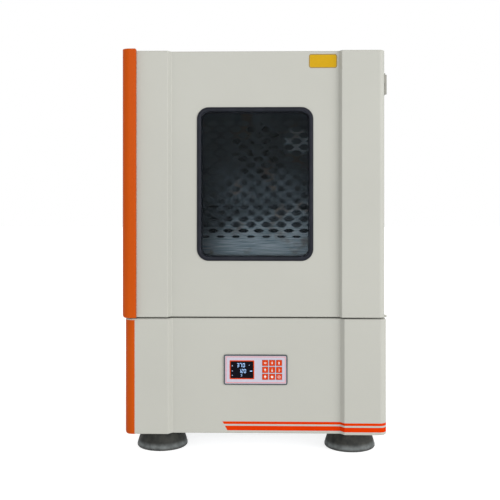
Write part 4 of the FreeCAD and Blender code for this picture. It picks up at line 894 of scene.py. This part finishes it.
stripe_film = moulded("stripe_film", (0.43, 0.024, 0.001, 1), (0.40, 0.021, 0.001, 1), 0.45,
                      texture=0.01, shine=0.0)
stripe_foot_z = 57.2
stripe_start_x = -67.7
trim_edge_x = -280.0
film_thickness = 0.15
for name, low_z, high_z in (("stripe_thick", stripe_foot_z, 68.2), ("stripe_thin", 72.6, 78.6)):
    stripe = joined("base_front_panel")
    hidden = []
    for face in stripe.faces:
        faces_front = face.normal.y < -0.05 and abs(face.normal.z) < 0.1
        faces_right = face.normal.x > 0.95
        if not (faces_front or faces_right) or face.calc_center_median().x < trim_edge_x:
            hidden.append(face)
    bmesh.ops.delete(stripe, geom=hidden, context="FACES")
    for spot, away in (((0, 0, low_z), (0, 0, -1)), ((0, 0, high_z), (0, 0, 1)),
                       ((stripe_start_x, 0, stripe_foot_z), (-0.87, 0, -0.49))):
        bmesh.ops.bisect_plane(stripe, geom=stripe.verts[:] + stripe.edges[:] + stripe.faces[:],
                               plane_co=spot, plane_no=away, clear_outer=True)
    bmesh.ops.solidify(stripe, geom=stripe.faces[:], thickness=-film_thickness)
    bmesh.ops.recalc_face_normals(stripe, faces=stripe.faces[:])
    piece(name, stripe, [stripe_film], "cabinet")


# Floor, light and camera
# A pale floor under an even white studio, with a large soft light from the right front and a smaller
# one from straight ahead. The camera stands where the photograph was taken from.

floor_paint = Finish("floor_paint", {
    "Roughness": 0.9, "Emission Color": (1, 1, 1, 1), "Emission Strength": 0.7})
floor_paint.feed("Base Color", floor_paint.mix(
    (0.48, 0.48, 0.48, 1), (0.50, 0.50, 0.50, 1), floor_paint.grain(4)))
floor = bmesh.new()
bmesh.ops.create_grid(floor, x_segments=1, y_segments=1, size=20)
floor_mesh = bpy.data.meshes.new("floor")
floor.to_mesh(floor_mesh)
floor.free()
floor_mesh.materials.append(floor_paint.material)
floor_object = bpy.data.objects.new("floor", floor_mesh)
bpy.context.scene.collection.objects.link(floor_object)

studio = bpy.data.worlds.new("studio")
studio.use_nodes = True
sky = studio.node_tree.nodes["Background"]
sky.inputs["Color"].default_value = (1, 1, 1, 1)
sky.inputs["Strength"].default_value = 1.0
bpy.context.scene.world = studio
bpy.context.scene.view_settings.view_transform = "Standard"

front_middle = Vector((0, -0.3, 0.55))
for name, place, energy, size in (("soft_key", (7.8, -5.8, 2.4), 690, 5.0),
                                  ("soft_fill", (-0.3, -8.8, 3.0), 250, 1.6)):
    light = bpy.data.lights.new(name, "AREA")
    light.energy = energy
    light.size = size
    stand = bpy.data.objects.new(name, light)
    stand.location = place
    stand.rotation_euler = (front_middle - stand.location).to_track_quat("-Z", "Y").to_euler()
    bpy.context.scene.collection.objects.link(stand)

optics = bpy.data.cameras.new("photo_camera")
optics.lens = 55.95
optics.sensor_width = 36
optics.shift_x = -0.00773
optics.shift_y = -0.09
camera = bpy.data.objects.new("photo_camera", optics)
camera.location = (0.0358, -2.2109, 0.601)
camera.rotation_euler = (math.radians(90.08), 0, math.radians(1.194))
bpy.context.scene.collection.objects.link(camera)
bpy.context.scene.camera = camera
